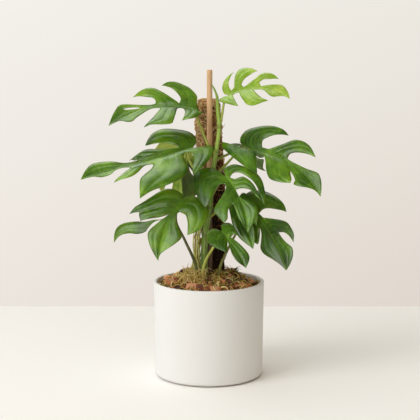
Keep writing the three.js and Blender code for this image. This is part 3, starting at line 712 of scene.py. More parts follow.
PETIOLES = {
    "leaf_01": [(9, -16.5, 304), (-2, -22, 319), (-9, -23, 337), (-15, -24, 352)],
    "leaf_02": [(3.5, -18, 258), (-7, -28, 281), (-16, -34, 300)],
    "leaf_03": [(-16, -30, 100), (-17, -32, 154), (-31, -38, 190), (-43, -43, 218), (-40, -46, 238)],
    "leaf_04": [(2, -18.7, 245), (10, -34, 261), (17, -46, 273)],
    "leaf_05": [(14, -13.4, 336), (18, -11, 358), (21, -10, 373)],
    "leaf_06": [(5, -17.5, 274), (16, -21, 283), (23, -25, 291), (33, -29, 302), (45, -31, 310)],
    "leaf_07": [(11, -20, 100), (14, -22, 148), (26, -24, 178), (43, -27, 209)],
    "leaf_08": [(-9, -36, 100), (-10, -34, 134), (-5, -38, 162), (7, -51, 186), (13, -58, 200)],
    "leaf_09": [(-1, -19, 218), (14, -26, 230), (28, -32, 241)],
    "leaf_10": [(4.2, -17.5, 268), (-12, -14, 276), (-23, 2, 288), (-28, 16, 299)],
    "leaf_11": [(8, -16.6, 296), (26, -8, 303), (38, 8, 309)],
}

# How much lighter than the middle green each half of a blade is, the left and the right: painted light on the
# leaves at the left, painted shade on those at the right and at the back
BLADE_LIGHT_AND_SHADE = {
    "leaf_01": (0.1, 0.2), "leaf_02": (0.15, 0.05), "leaf_03": (0.15, 0.05), "leaf_04": (0.05, -0.1),
    "leaf_06": (0.0, 0.05), "leaf_07": (-0.1, -0.2), "leaf_08": (0.05, 0.0), "leaf_09": (-0.1, -0.1),
    "leaf_10": (0.15, 0.15), "leaf_11": (-0.2, -0.2),
}
# How much lighter than its upper face the underside of each half is, and how much more so round the petiole:
# painted light shining through leaf_10's left half and round its petiole, and painted shade on its right half
UNDER_LIGHT_AND_SHADE = {"leaf_10": (0.35, -0.5, 0.9)}
# How light a petiole is, from dark olive at 0 to yellow-green at 1
STALK_TONE = {
    "leaf_01": 0.7, "leaf_02": 0.4, "leaf_03": 0.15, "leaf_05": 0.8, "leaf_07": 0.4, "leaf_08": 0.85,
    "leaf_10": 0.9,
}

# The leaves that aren't plain green, with the slot of their finish
LEAF_FINISHES = {"leaf_05": (LEAF_YOUNG, "leaf_young"), "leaf_10": (LEAF_LIT, "leaf_green")}

LOBE_ROWS = 28
ROW_STEP = 2.2  # about how far apart the rows are on the closed stretch before a slit
LOBE_COLUMNS = 12  # even, so that a lobe's vein and its thin veins each lie on a column
INSIDE = 9.0  # stands for any distance from an edge or a vein at which it no longer shows
PILLOW = 0.06  # how high a lobe swells, as a share of its width
VEIN_DIP = 0.4  # the share of that which is missing over the vein
GROOVE = 0.32
MARGIN_WAVE = 0.6
TRIM = 0.998  # a blade's size, so that its finer edges don't curve out past straight chords


def scaled_outline(name):
    """A blade's outline at its own size: every length and place × the size."""
    like, size = COPIES.get(name, (name, 1.0))
    size *= TRIM

    def grown(lobe):
        """A lobe's place on the midrib and its points, each × the size."""
        root, *places = lobe
        return (root * size, *[np.asarray(p, float) * size for p in places])

    length, bow, left, right = OUTLINES[like]
    return dict(length=length * size, bow=bow * size, left=[*map(grown, left)], right=[*map(grown, right)])


def midrib(outline, u):
    """The midrib on the flat blade: v = 4 × bow × share × (1 - share), where share is u / length."""
    u = np.asarray(u, float)
    share = np.clip(u / outline["length"], 0, 1)
    return np.stack([u, 4 * outline["bow"] * share * (1 - share)], -1)


def blade_point(leaf, outline, place, rise):
    """A flat place (u, v) of the blade in space, lifted off it by rise.

    The midrib bends down along a circle. Each half rises from it at the fold angle and comes down again
    with the square of its distance from the midrib.
    """
    at, *turns, arch = leaf
    heading, dip, roll, bend, fold = map(math.radians, turns)
    ahead = np.array([math.cos(heading) * math.cos(dip), math.sin(heading) * math.cos(dip), -math.sin(dip)])
    level = np.array([-math.sin(heading), math.cos(heading), 0.0])
    upright = np.cross(ahead, level)
    across = level * math.cos(roll) + upright * math.sin(roll)
    normal = upright * math.cos(roll) - level * math.sin(roll)
    u, v = place[..., 0], place[..., 1]
    turn = bend * u / outline["length"]
    reach = outline["length"] / bend
    away = v - midrib(outline, u)[..., 1]
    lift = math.tan(fold) * np.abs(away) - arch * (away / (0.45 * outline["length"])) ** 2 + rise
    return (
        np.asarray(at, float)
        + ((reach + lift) * np.sin(turn))[..., None] * ahead
        + (lift * np.cos(turn) - reach * (1 - np.cos(turn)))[..., None] * normal
        + v[..., None] * across
    )


def through(points, count):
    """A uniform Catmull-Rom curve with doubled ends, at equal steps."""
    points = np.asarray(points, float)
    x = np.linspace(0, len(points) - 1, 60 * len(points))
    i = np.minimum(x.astype(int), len(points) - 2)
    t = (x - i)[:, None]
    before, here, there = points[np.maximum(i - 1, 0)], points[i], points[i + 1]
    after = points[np.minimum(i + 2, len(points) - 1)]
    leave, arrive = (there - before) / 2, (after - here) / 2
    line = (2 * here - 2 * there + leave + arrive) * t**3
    line = line + (3 * there - 3 * here - 2 * leave - arrive) * t**2 + leave * t + here
    return even_steps(line, count)


def closed_rows(start, bay):
    """How many rows lie on the closed stretch between the midrib and a slit's inner end."""
    return int(np.clip(round(np.linalg.norm(bay - start) / ROW_STEP), 4, LOBE_ROWS - 8))


def lobe_edge(outline, root, bay, points, tip):
    """One edge of a lobe, from the midrib to its tip, and how many of its rows are closed."""
    if root == 0:
        return through([bay, *points, tip], LOBE_ROWS), 0
    start = midrib(outline, root)
    rows = closed_rows(start, bay)
    stretch = start + (bay - start) * np.linspace(0, 1, rows + 1)[:-1, None]
    return np.concatenate([stretch, through([bay, *points, tip], LOBE_ROWS - rows)]), rows


# Narrow slits that lie inside a lobe: the middle, the half length and half width, and the turn
SLITS = {("leaf_01", "right"): ((87, -17.5), (11, 1.6), -0.09)}


def cut_slit(flat, quads, slit):
    """Takes out the faces whose middle lies in the slit's ellipse, and draws the gap's edge to it."""
    centre, half, turn = slit
    spin = np.array([[math.cos(turn), -math.sin(turn)], [math.sin(turn), math.cos(turn)]])
    local = (flat - centre) @ spin / half
    gone = np.linalg.norm(local[quads].mean(1), axis=1) < 1.0
    border = np.intersect1d(quads[gone], quads[~gone])
    near = local[border] / np.linalg.norm(local[border], axis=1, keepdims=True)
    flat = flat.copy()
    flat[border] = near * half @ spin.T + centre
    return flat, quads[~gone]


def half_blade(leaf, outline, side_name, draw, slit):
    """Points, faces and values of one half of a blade, both faces and the wall round the edge.

    A lobe is a patch: rows run from the midrib to its tip and columns from its near edge to its far
    edge. A point is the near edge's + q × (far - near), put right so that row 0 follows the midrib. On
    the patch the blade is lifted into a low pillow, PILLOW × width × (1 - x²) with x = |2q - 1|, which
    sinks broadly and sharply along the lobe's vein and waves along its edge.
    """
    lobes = outline[side_name]
    s = np.linspace(0, 1, LOBE_ROWS + 1)[:, None]
    q = np.linspace(0, 1, LOBE_COLUMNS + 1)[None]
    x = np.abs(2 * q - 1)
    row = np.arange(LOBE_ROWS + 1)[:, None]
    odd = (np.arange(LOBE_COLUMNS + 1) % 2)[None]
    shape = (LOBE_ROWS + 1, LOBE_COLUMNS + 1)
    flat, rise, carried, quads = [], [], [], []
    for n, (root, bay, out, tip, back) in enumerate([*lobes[:-1], (*lobes[-1][:3], None, None)]):
        last = tip is None
        if last:
            tip = np.array([outline["length"], 0.0])
        near, near_closed = lobe_edge(outline, root, bay, out, tip)
        if last:
            far = midrib(outline, np.linspace(root, outline["length"], LOBE_ROWS + 1))
        else:
            next_root, next_bay = lobes[n + 1][:2]
            far, far_closed = lobe_edge(outline, next_root, next_bay, back[::-1], tip)
        spot = near[:, None] + q[..., None] * (far - near)[:, None]
        if not last:
            on_rib = midrib(outline, root + (next_root - root) * q[0])
            spot = spot + (on_rib - spot[0])[None] * (1 - s)[..., None]
        width = np.linalg.norm(far - near, axis=-1)[:, None]
        from_vein = np.abs(q - (0.45 if last else 0.5)) * width
        grows = eased(s / 0.25) * eased((1 - s) / 0.12)
        dip = VEIN_DIP * np.exp(-((from_vein / (0.15 * width + 0.1)) ** 2))
        pillow = PILLOW * width * (1 - x**2) * grows * (1 - dip)
        groove = GROOVE * np.exp(-((from_vein / 1.6) ** 2)) * grows * (1 - s)
        phase = draw.uniform(0, 2 * np.pi)
        edge_side = 1 - q if last else x
        wave = MARGIN_WAVE * np.sin(2 * np.pi * 1.6 * s + phase) * edge_side**3 * grows
        margin = np.where(row >= near_closed, q * width, INSIDE)
        if not last:
            margin = np.minimum(margin, np.where(row >= far_closed, (1 - q) * width, INSIDE))
        held = (from_vein, odd * width / LOBE_COLUMNS, margin, s, groove)
        flat.append(spot.reshape(-1, 2))
        rise.append((pillow - groove + wave).ravel())
        carried.append(np.stack([np.broadcast_to(a, shape).ravel() for a in held], -1))
        quads.append(grid_quads(*shape) + n * shape[0] * shape[1])
    flat, rise, carried, quads = (np.concatenate(a) for a in (flat, rise, carried, quads))
    _, kept, where = np.unique(np.round(flat, 3), axis=0, return_index=True, return_inverse=True)
    flat, rise, carried, quads = flat[kept], rise[kept], carried[kept], where.reshape(-1)[quads]
    if slit:
        flat, quads = cut_slit(flat, quads, slit)
        used, quads = np.unique(quads, return_inverse=True)
        flat, rise, carried, quads = flat[used], rise[used], carried[used], quads.reshape(-1, 4)
    if side_name == "right":
        quads = quads[:, ::-1]
    return closed_sheet(leaf, outline, flat, rise, carried, quads)


def closed_sheet(leaf, outline, flat, rise, carried, quads):
    """The sheet's upper and lower face, and a wall between them along every edge that only one face has."""
    from_vein, fine, margin, along, groove = carried.T
    thick = BLADE * (0.55 + 0.45 * eased(margin / 6))
    upper = blade_point(leaf, outline, flat, rise + thick / 2)
    lower = blade_point(leaf, outline, flat, rise - thick / 2 - 0.9 * groove)
    count = len(flat)
    same = quads == np.roll(quads, -1, 1)
    narrow = same.sum(1) == 1
    tris = quads[narrow][~same[narrow]].reshape(-1, 3)
    quads = quads[~same.any(1)]
    sides = [(f[:, i], np.roll(f, -1, 1)[:, i]) for f in (quads, tris) for i in range(f.shape[1])]
    edges = np.concatenate([np.stack(side, -1) for side in sides])
    code = edges[:, 0] * count + edges[:, 1]
    lone = edges[~np.isin(code, edges[:, 1] * count + edges[:, 0])]
    wall = np.stack([lone[:, 0], lone[:, 0] + count, lone[:, 1] + count, lone[:, 1]], -1)
    rib = np.abs(flat[:, 1] - midrib(outline, flat[:, 0])[:, 1])
    base = 1 - eased(flat[:, 0] / (0.35 * outline["length"]))
    values = dict(rib_mm=rib, vein_mm=from_vein, fine_mm=fine, edge_mm=margin, along=along, base=base)
    return part(
        np.concatenate([upper, lower]),
        np.concatenate([quads, quads[:, ::-1] + count, wall]),
        np.concatenate([tris, tris[:, ::-1] + count]),
        under=np.repeat([0.0, 1.0], count), stalk=0.0, **{key: np.tile(a, 2) for key, a in values.items()},
    )


def leaf_piece(name, material, slot):
    """A whole leaf: two half blades, the midrib as a slim bar that shows on both faces, and the petiole,
    which starts with a swelling at the stem and ends in the knee that turns the blade."""
    leaf, outline = LEAVES[name], scaled_outline(name)
    draw = np.random.default_rng(int(name[-2:]) + 40)
    plain = dict(vein_mm=INSIDE, fine_mm=INSIDE, edge_mm=INSIDE, under=0.0)
    # the blade halves' painted light and painted shade, carried in their tone
    tones = BLADE_LIGHT_AND_SHADE.get(name, (0.0, 0.0))

    share = np.linspace(0, 0.985, 36)
    thick = MIDRIB + (0.3 - MIDRIB) * share
    rib = blade_point(leaf, outline, midrib(outline, share * outline["length"]), 0.3 - thick)
    rib_bar = tubes(rib[None], thick[None], 8, rib_mm=0.0, along=0.0, stalk=0.0, tone=tones[0], **plain)

    foot = BASAL_PETIOLE if name in BASAL else PETIOLE
    knee = blade_point(leaf, outline, midrib(outline, 0.0), -MIDRIB)
    path = smooth_path([*PETIOLES[name], knee], 40)
    share = np.linspace(0, 1, 41)
    radius = foot + (MIDRIB + 0.15 - foot) * share
    radius = radius + 0.35 * foot * np.exp(-((share / 0.06) ** 2))
    radius = radius + (KNEE - MIDRIB) * np.exp(-(((share - 1) / 0.05) ** 2))
    radius[[0, -1]] *= 0.7
    tone = STALK_TONE.get(name, 0.55)
    petiole = tubes(path[None], radius[None], 12, rib_mm=INSIDE, along=1.0, stalk=1.0, tone=tone, **plain)

    parts = [half_blade(leaf, outline, side, draw, SLITS.get((name, side))) for side in ("left", "right")]
    # the underside's painted light shining through the leaf and painted shade
    *below, near = UNDER_LIGHT_AND_SHADE.get(name, (0.0, 0.0, 0.0))
    for half, tone, lower in zip(parts, tones, below):
        values = half["values"]
        values["tone"] = tone + values["under"] * (lower + near * values["base"])
    return piece("cut_" + name, [*parts, rib_bar, petiole], [material], name)


# Pot, stake and pole

def pot_piece():
    """The turned pot: flat base, rounded foot, a wall that widens a little, a thin rounded rim and the
    inside."""
    foot = POT_RADIUS - POT_TAPER
    inner = POT_RADIUS - POT_WALL
    half = POT_WALL / 2
    edge = POT_HEIGHT - POT_LIP
    bend = np.linspace(-np.pi / 2, 0, 9)
    foot_curve = np.stack([foot + FOOT_CURVE * (np.cos(bend) - 1), FOOT_CURVE * (1 + np.sin(bend))], -1)
    wall = np.linspace((foot, FOOT_CURVE), (POT_RADIUS, edge), 12)[1:-1]
    lip = np.linspace(0, np.pi, 15)
    rim = np.stack([inner + half + half * np.cos(lip), edge + POT_LIP * np.sin(lip)], -1)
    inside = [(inner, POT_HEIGHT - 6), (inner, POT_HEIGHT - 20), (inner, POT_FLOOR), (30, POT_FLOOR)]
    profile = [(0, 0), (30, 0), (foot - FOOT_CURVE - 4, 0), *foot_curve, *wall, *rim, *inside, (0, POT_FLOOR)]
    return piece("ceramic_pot", [turned(profile, 160)], [CERAMIC], "pot")


def stake_piece():
    """A straight dowel with a slightly broken top edge; its skin wavers by a tenth of a millimetre."""
    profile = [(STAKE_RADIUS, height) for height in np.linspace(STAKE_FOOT + 2, STAKE_TOP - 0.7, 60)]
    profile = [(0, STAKE_FOOT), *profile, (STAKE_RADIUS - 0.3, STAKE_TOP - 0.25)]
    dowel = turned([*profile, (STAKE_RADIUS - 0.9, STAKE_TOP), (0, STAKE_TOP)], 28, STAKE_SPOT)
    points = dowel["points"]
    waver = ripples(points * (0.6, 0.6, 0.05), 5.0, 3)[:, None]
    dowel["points"] = points + (points - (*STAKE_SPOT, 0)) * (1, 1, 0) * 0.02 * waver
    return piece("wooden_stake", [dowel], [WOOD], "stake")


POLE_LINE = [(6, 12, 40), (6, 12, 142), (5, 12, 293), (-2, 12, 376)]
POLE_TOP = POLE_LINE[-1][2]


def pole_axis(height):
    """The pole's centre at a height."""
    line = smooth_path(POLE_LINE, 200)
    return np.stack([np.interp(height, line[:, 2], line[:, n]) for n in (0, 1)], -1)


def coir_piece():
    """The coir pole: a lumpy core whose skin is ploughed by slanting fibres, under fine upright strands,
    bolder curls, a loose tuft that hangs off its left side and a crown of curls on its top."""
    rows, sides = 190, 96
    height = np.linspace(POLE_FOOT, POLE_TOP - 0.5, rows)[:, None]
    around = (2 * np.pi * np.arange(sides) / sides)[None]
    skin = np.stack(np.broadcast_arrays(around * POLE_RADIUS, height), -1)
    cord = ripples(skin @ np.array([[1.0, 0.35], [0.06, 0.12]]), 2.6, 7)
    radius = (POLE_RADIUS - 0.6 + pole_lumps(around, height) + 0.9 * cord) * dome(height)
    centre = pole_axis(height[:, 0])
    core = rings_of(centre[:, :1] + radius * np.cos(around), centre[:, 1:] + radius * np.sin(around), height)
    ends = [[*centre[0], POLE_FOOT], [*centre[-1], POLE_TOP]]
    # painted shade: the core under the strands is dark brown, for the shade in the gaps between fibres, and
    # lighter on its raised cords
    tone = np.concatenate([coir_tone_with_painted_light(0.1 + 0.2 * cord, height).ravel(), [0.2, 0.3]])
    quads = grid_quads(rows, sides, closed=True)
    shell = part(np.concatenate([core, ends]), quads, caps(rows, sides), tone=tone)

    draw = np.random.default_rng(21)
    fine = skin_strands(
        draw, 1200, 8, 3, height=(POLE_FOOT + 8, POLE_TOP - 6), length=(10, 42), lift=(0.2, 1.0), loose=0.16,
        thick=(0.14, 0.34), tone=(0.0, 0.7), heading=(np.pi / 2, 0.5), curl=0.4,
    )
    curls = skin_strands(
        draw, 520, 10, 4, height=(POLE_FOOT + 60, POLE_TOP - 2), length=(5, 16), lift=(0.4, 3.2), loose=0.14,
        thick=(0.35, 0.9), tone=(0.15, 1.0),
    )
    tuft = skin_strands(
        draw, 170, 10, 4, height=(300, 352), length=(6, 18), lift=(1.5, 8.0), loose=0.5,
        thick=(0.35, 0.8), tone=(0.3, 1.0), angle=(2.5, 3.9),
    )
    crown = skin_strands(
        draw, 200, 9, 4, height=(POLE_TOP - 11, POLE_TOP), length=(5, 14), lift=(-3.0, 3.0), loose=0.25,
        thick=(0.3, 0.8), tone=(0.3, 1.0),
    )
    return piece("coir_wrap", [shell, fine, curls, tuft, crown], [COIR], "coir_pole")


def pole_lumps(around, height):
    """How far the pole's skin swells at an angle and a height: two waves that wind up it."""
    return 0.7 * np.sin(3 * around + height * 0.055) + 0.5 * np.sin(5 * around - height * 0.09)


def dome(height):
    """What share of its radius the pole has at a height: a quarter ellipse over its top, cut off at a
    third."""
    up = np.clip((height - (POLE_TOP - POLE_DOME)) / POLE_DOME, 0, 1)
    return np.sqrt(1 - 0.89 * up**2)


def in_range(draw, count):
    """A way to draw a number for each of count strands, evenly between two values."""
    return lambda low, high: draw.uniform(low, high, (count, 1))


def skin_strands(draw, count, places, sides, height, length, lift, loose, thick, tone,
                 angle=(0, 2 * np.pi), heading=(0, 3.0), curl=3.4):
    """Strands that walk over the pole's skin in equal steps. The way starts at heading, give or take,
    and turns by up to curl; the middle is lifted off the skin, and the ends of a share of them, loose,
    stand off further."""
    t = np.linspace(0, 1, places)[None]
    pick = in_range(draw, count)
    way = heading[0] + draw.normal(0, heading[1], (count, 1)) + draw.normal(0, curl, (count, 1)) * (t - 0.5)
    step = pick(*length) / (places - 1)
    rise = pick(*height) + np.cumsum(np.sin(way), 1) * step
    rise = np.clip(rise, POLE_FOOT + 2, POLE_TOP)
    turn = pick(*angle) + np.cumsum(np.cos(way), 1) * step / POLE_RADIUS
    stand = np.where(draw.random((count, 1)) < loose, pick(2, 7), pick(0, 0.8)) * eased(2 * t - 1) ** 1.5
    away = (POLE_RADIUS - 0.1 + pole_lumps(turn, rise)) * dome(rise) + pick(*lift) * np.sin(np.pi * t) + stand
    centre = pole_axis(rise.ravel()).reshape(count, places, 2)
    paths = np.stack([centre[..., 0] + away * np.cos(turn), centre[..., 1] + away * np.sin(turn), rise], -1)
    slim = pick(*thick) * (1 - 0.6 * np.abs(2 * t - 1) ** 3)
    # the strands' tone, with painted light on the upper pole
    return tubes(paths, slim, sides, tone=coir_tone_with_painted_light(pick(*tone), rise))


def coir_tone_with_painted_light(tone, height):
    """The tone at a height: darker towards the pole's foot, and lighter towards its top, which is painted
    light on the upper pole.
    """
    return np.clip(tone - 0.3 * eased((280 - height) / 90) + 0.3 * eased((height - 250) / 80), 0, 1)


# Climbing stem and roots

VINE_LINE = [
    (-6, -17, 96), (-6, -17.5, 140), (-6, -18, 175), (-4, -19, 202), (1, -19, 232), (3, -18, 256),
    (6, -17, 283), (10, -16, 308), (13, -14, 329), (14, -13, 342), (12, -12, 362), (11, -12, 379),
    (8, -12, 388), (4, -13, 396),
]
VINE_KNOTS = (0.16, 0.33, 0.45, 0.54, 0.62, 0.7, 0.81)
SHEATH_START = 0.82


def stem_piece():
    """The climbing stem: it thins upward, has a raised ring at each knot, and ends in a pointed leaf
    sheath."""
    path = smooth_path(VINE_LINE, 220)
    share = np.linspace(0, 1, len(path))
    thinned = np.minimum(1, share / SHEATH_START)
    above = (share - SHEATH_START) / (1 - SHEATH_START)
    radius = STEM_FOOT + (STEM_TOP - STEM_FOOT) * thinned
    radius = radius * np.where(thinned < 1, 1, 1.15 - 0.95 * above**2)
    knots = sum(np.exp(-(((share - at) / 0.009) ** 2)) for at in VINE_KNOTS)
    radius = radius + STEM_KNOT * knots + 0.18 * ripples(path, 9.0, 31)
    stem = tubes(path[None], radius[None], 20, knot=knots[None])
    return piece("green_climbing_stem", [stem], [STEM], "climbing_stem")


ROOT_LINES = {
    "aerial_root_01": [(-13, -17, 214), (-17, -18, 196), (-18, -17, 172), (-15, -16, 150), (-14, -15, 112)],
    "aerial_root_02": [(-12, -8, 190), (-16, -6, 170), (-20, -8, 148), (-22, -9, 112)],
}


def root_piece(name):
    """An aerial root: a dry bar that wavers a little, thinner rootlets that run along it, and short side
    hairs."""
    seed = int(name[-2:])
    draw = np.random.default_rng(seed)
    path = smooth_path(ROOT_LINES[name], 70)
    share = np.linspace(0, 1, len(path))
    waver = np.stack([ripples(path, 14.0, seed + 2 + n) for n in range(3)], -1)
    path = path + 0.5 * waver * np.sin(np.pi * share)[:, None]
    radius = (1.5 - 0.4 * share) * (1 + 0.16 * ripples(path, 5.0, seed + 9))
    bar = tubes(path[None], radius[None], 10, tone=0.5 + 0.2 * ripples(path, 20.0, seed + 5)[None])

    count = 46
    at = path[draw.integers(6, len(path) - 9, count)]
    way = draw.normal(size=(count, 3)) * (1, 1, 0.5)
    way /= np.linalg.norm(way, axis=1, keepdims=True)
    t = np.linspace(0, 1, 5)[None, :, None]
    reach = draw.uniform(2, 5, (count, 1, 1))
    hairs = at[:, None] + way[:, None] * t * reach - np.array([0, 0, 1.0]) * t**2 * reach * 0.5
    thick = draw.uniform(0.12, 0.22, (count, 1)) * (1 - 0.7 * t[..., 0])
    fluff = tubes(hairs, thick, 3, tone=draw.uniform(0.2, 0.8, (count, 1)))

    count = 12
    beside = path[None, ::5] + draw.normal((1.4, 0, 0), (2.6, 2.0, 0), (count, 1, 3))
    beside = beside + draw.normal(0, 0.35, beside.shape)
    t = np.linspace(0, 1, beside.shape[1])[None]
    slim = draw.uniform(0.5, 1.0, (count, 1)) * (1 - 0.5 * (2 * t - 1) ** 4)
    rootlets = tubes(beside, slim, 6, tone=draw.uniform(0.0, 1.0, (count, 1)) ** 0.7)
    return piece("dry_" + name, [bar, rootlets, fluff], [DRY], name)


# Potting mix

HOLLOW = (50, 30)


def soil_height(x, y):
    """The heap: it falls off with the square of the distance from the stems, plus ripples of two
    lengths, less a hollow at the right."""
    share = np.minimum(1, np.hypot(x, y - 4) / (POT_RADIUS - POT_WALL))
    ripple = 1.3 * np.sin(x * 0.21 + 1.1) * np.cos(y * 0.24) + 0.7 * np.sin(x * 0.47 + y * 0.39)
    hollow = 5 * np.exp(-((x - HOLLOW[0]) ** 2 + (y - HOLLOW[1]) ** 2) / 90)
    return SOIL_EDGE + SOIL_HEAP * (1 - share**2) ** 1.5 + ripple - hollow


def mix_piece():
    """The body of the mix: a disc of rings, raised by the heap and by crumbs of two sizes, with a wall
    and a flat underside inside the pot, and loose crumbs on it."""
    rings, sides = 70, 220
    reach = SOIL_RADIUS * np.linspace(0.01, 1, rings)[:, None]
    around = (2 * np.pi * np.arange(sides) / sides)[None]
    x, y = reach * np.cos(around), reach * np.sin(around)
    flat = np.stack([x, y], -1)
    rough = 1.1 * ripples(flat, 6.0, 51) + 0.7 * ripples(flat, 2.6, 52)
    top = rings_of(x, y, soil_height(x, y) + rough)
    under = POT_FLOOR + FIT_GAP
    rim = top[-sides:] * (1, 1, 0) + (0, 0, under)
    points = np.concatenate([top, rim, [[0, 0, soil_height(0.0, 0.0)], [0, 0, under]]])
    tone = np.concatenate([(0.18 + 0.3 * rough).ravel(), np.full(sides + 2, 0.3)])
    quads = grid_quads(rings + 1, sides, closed=True)[:, ::-1]
    body = part(points, quads, caps(rings + 1, sides)[:, [0, 2, 1]], tone=tone)
    return piece("rough_potting_mix", [body, crumbs()], [MIX], "soil")


def scattered(draw, count, inner, outer):
    """Places on the mix between two distances from the pot's axis, spread evenly by area."""
    reach = np.sqrt(draw.uniform(inner**2, outer**2, count))
    angle = draw.uniform(0, 2 * np.pi, count)
    return np.stack([reach * np.cos(angle), reach * np.sin(angle)], -1)


def leaning_ways(spin, lean):
    """Three square directions for each thing: level along it, turned by spin; across it, its far side
    raised by lean; and straight up from its face."""
    ahead = np.stack([np.cos(spin), np.sin(spin), 0 * spin], -1)
    level = np.stack([-np.sin(spin), np.cos(spin), 0 * spin], -1)
    side = level * np.cos(lean)[:, None] + np.array([0, 0, 1.0]) * np.sin(lean)[:, None]
    return ahead, side, np.cross(ahead, side)


def lumps(draw, centres, sizes, ways, power, dent, tone, rows, columns):
    """Rounded blocks: the ellipsoid's sines and cosines are raised to power, so that low powers give
    flat sides, and each block is dented by its own waves and bent along its length."""
    count = len(centres)
    polar = np.linspace(0, np.pi, rows + 2)[1:-1][:, None]
    around = (2 * np.pi * np.arange(columns) / columns)[None]
    soft = lambda a: np.sign(a) * np.abs(a) ** power
    level = soft(np.sin(polar))
    unit = rings_of(level * soft(np.cos(around)), level * soft(np.sin(around)), soft(np.cos(polar)))
    unit = np.concatenate([unit, [[0, 0, 1.0], [0, 0, -1.0]]])
    own = len(unit)
    shape = unit[None] * sizes[:, None]
    phase = draw.uniform(0, 2 * np.pi, (count, 1, 3))
    shape = shape * (1 + dent * np.sin(unit[None] * 3.1 + phase).sum(-1, keepdims=True) / 3)
    shape[..., 2] += draw.normal(0, 0.12, (count, 1)) * unit[None, :, 0] ** 2 * sizes[:, :1]
    ahead, side, up = ways
    points = centres[:, None] + shape[..., :1] * ahead[:, None] + shape[..., 1:2] * side[:, None]
    points = points + shape[..., 2:] * up[:, None]
    quads = repeated(grid_quads(rows, columns, closed=True)[:, ::-1], count, own)
    tris = repeated(caps(rows, columns)[:, [0, 2, 1]], count, own)
    return part(points.reshape(-1, 3), quads, tris, tone=np.repeat(tone, own))


def crumbs():
    """Small crumbs of the mix, half sunk."""
    draw = np.random.default_rng(61)
    count = 1100
    spot = scattered(draw, count, 0, SOIL_RADIUS - 2)
    size = draw.uniform(0.7, 2.4, (count, 1)) * draw.uniform(0.7, 1.3, (count, 3))
    centre = np.column_stack([spot, soil_height(*spot.T) + size[:, 0] * 0.4])
    ways = leaning_ways(draw.uniform(0, 2 * np.pi, count), draw.normal(0, 0.5, count))
    return lumps(draw, centre, size, ways, 0.8, 0.25, draw.uniform(0.1, 1.0, count), 3, 5)


# The chips that the photograph shows best: (x, y, half length, half width, half height, turn, lean, tone)
CHIPS = [
    (-46, 16, 16, 4.6, 1.3, 0.6, 0.6, 0.7),
    (-50, -12, 11, 5.4, 1.7, 0.45, 0.9, 0.72),
    (-22, -45, 9.5, 5.8, 1.6, -0.3, 1.0, 0.68),
    (-6, -50, 9.5, 5.6, 1.6, 0.2, 0.9, 0.3),
    (9, -52, 8.0, 4.6, 1.4, 0.5, 0.9, 0.75),
    (62, 20, 6.0, 4.0, 1.2, 1.2, 0.8, 0.3),
    (26, -42, 8.0, 4.0, 1.2, 0.3, 0.6, 0.25),
    (42, -28, 7.0, 4.0, 1.2, -0.5, 0.6, 0.6),
    (-38, -22, 8.0, 4.5, 1.3, 0.4, 0.6, 0.35),
    (56, 0, 7.0, 3.5, 1.2, 0.9, 0.6, 0.8),
    (-42, -34, 8.0, 4.0, 1.2, -0.6, 0.6, 0.05),
]


def bark_piece():
    """Bark chips that lie at a slant, half sunk, thicker in the middle than at their ends."""
    draw = np.random.default_rng(71)
    count = 130
    spot = scattered(draw, count, 16, SOIL_RADIUS - 8)
    size = [draw.uniform(low, high, count) for low, high in ((4, 10), (2.6, 5), (0.9, 1.8))]
    spin, lean = draw.uniform(0, 2 * np.pi, count), draw.normal(0, 0.45, count)
    tone = draw.beta(1.4, 1.6, count)
    rise = draw.uniform(1.0, 3.6, count)
    loose = np.column_stack([spot, *size, spin, lean, tone])
    chips = np.concatenate([CHIPS, loose])
    shown = chips[:len(CHIPS)]
    rise = np.concatenate([1.5 + shown[:, 3] * np.sin(shown[:, 6]) * 0.6, rise])
    centre = np.column_stack([chips[:, :2], soil_height(*chips[:, :2].T) + rise])
    ways = leaning_ways(chips[:, 5], chips[:, 6])
    blocks = lumps(draw, centre, chips[:, 2:5], ways, 0.34, 0.3, chips[:, 7], 7, 14)
    return piece("bark_chips", [blocks], [BARK])


def moss_piece():
    """Curled moss and grassy strands on the mix, thin and bold, with tufts and one curled brown scrap."""
    draw = np.random.default_rng(81)
    thin = lying_strands(
        draw, 340, length=(7, 22), curl=1.4, hump=(0.5, 5.0), thick=(0.22, 0.45), tone=(0.2, 0.9),
    )
    bold = lying_strands(
        draw, 260, length=(10, 28), curl=1.9, hump=(2.0, 9.0), thick=(0.5, 1.0), tone=(0.4, 1.0),
    )
    path = smooth_path([(-38, 6, 128), (-38.5, 5, 138), (-36, 3, 142), (-31, 2, 142.5), (-27, 2, 138)], 24)
    width = 3.0 - 1.6 * np.linspace(-1, 1, 25)[None] ** 2
    scrap = tubes(path[None], width, 8, tone=0.06)
    scrap["look"] = 1
    return piece("moss_strands", [thin, bold, moss_tufts(), scrap], [MOSS, BARK])


def lying_strands(draw, count, length, curl, hump, thick, tone):
    """Strands that walk over the mix in equal steps, turning by up to curl and a little at random, and
    rise in a hump between their ends. None lies in the hollow, and none leaves the pot."""
    places = 11
    t = np.linspace(0, 1, places)[None]
    pick = in_range(draw, count)
    spot = scattered(draw, count, 8, SOIL_RADIUS - 5)
    spot = np.where((np.hypot(*(spot - HOLLOW).T) < 11)[:, None], -spot, spot)
    way = pick(0, 2 * np.pi) + draw.normal(0, curl, (count, 1)) * t
    way = way + draw.normal(0, 0.28, (count, places)).cumsum(1)
    step = pick(*length) / (places - 1)
    x = spot[:, :1] + np.cumsum(np.cos(way), 1) * step
    y = spot[:, 1:] + np.cumsum(np.sin(way), 1) * step
    outside = np.maximum(1, np.hypot(x, y) / (SOIL_RADIUS - 1.5))
    x, y = x / outside, y / outside
    rise = pick(*hump) * np.sin(np.pi * t) + draw.normal(0, 0.6, (count, 1)) * np.sin(7 * t)
    paths = np.stack([x, y, soil_height(x, y) + 0.6 + rise], -1)
    return tubes(paths, pick(*thick) * (1 - 0.7 * t**2), 4, tone=pick(*tone))


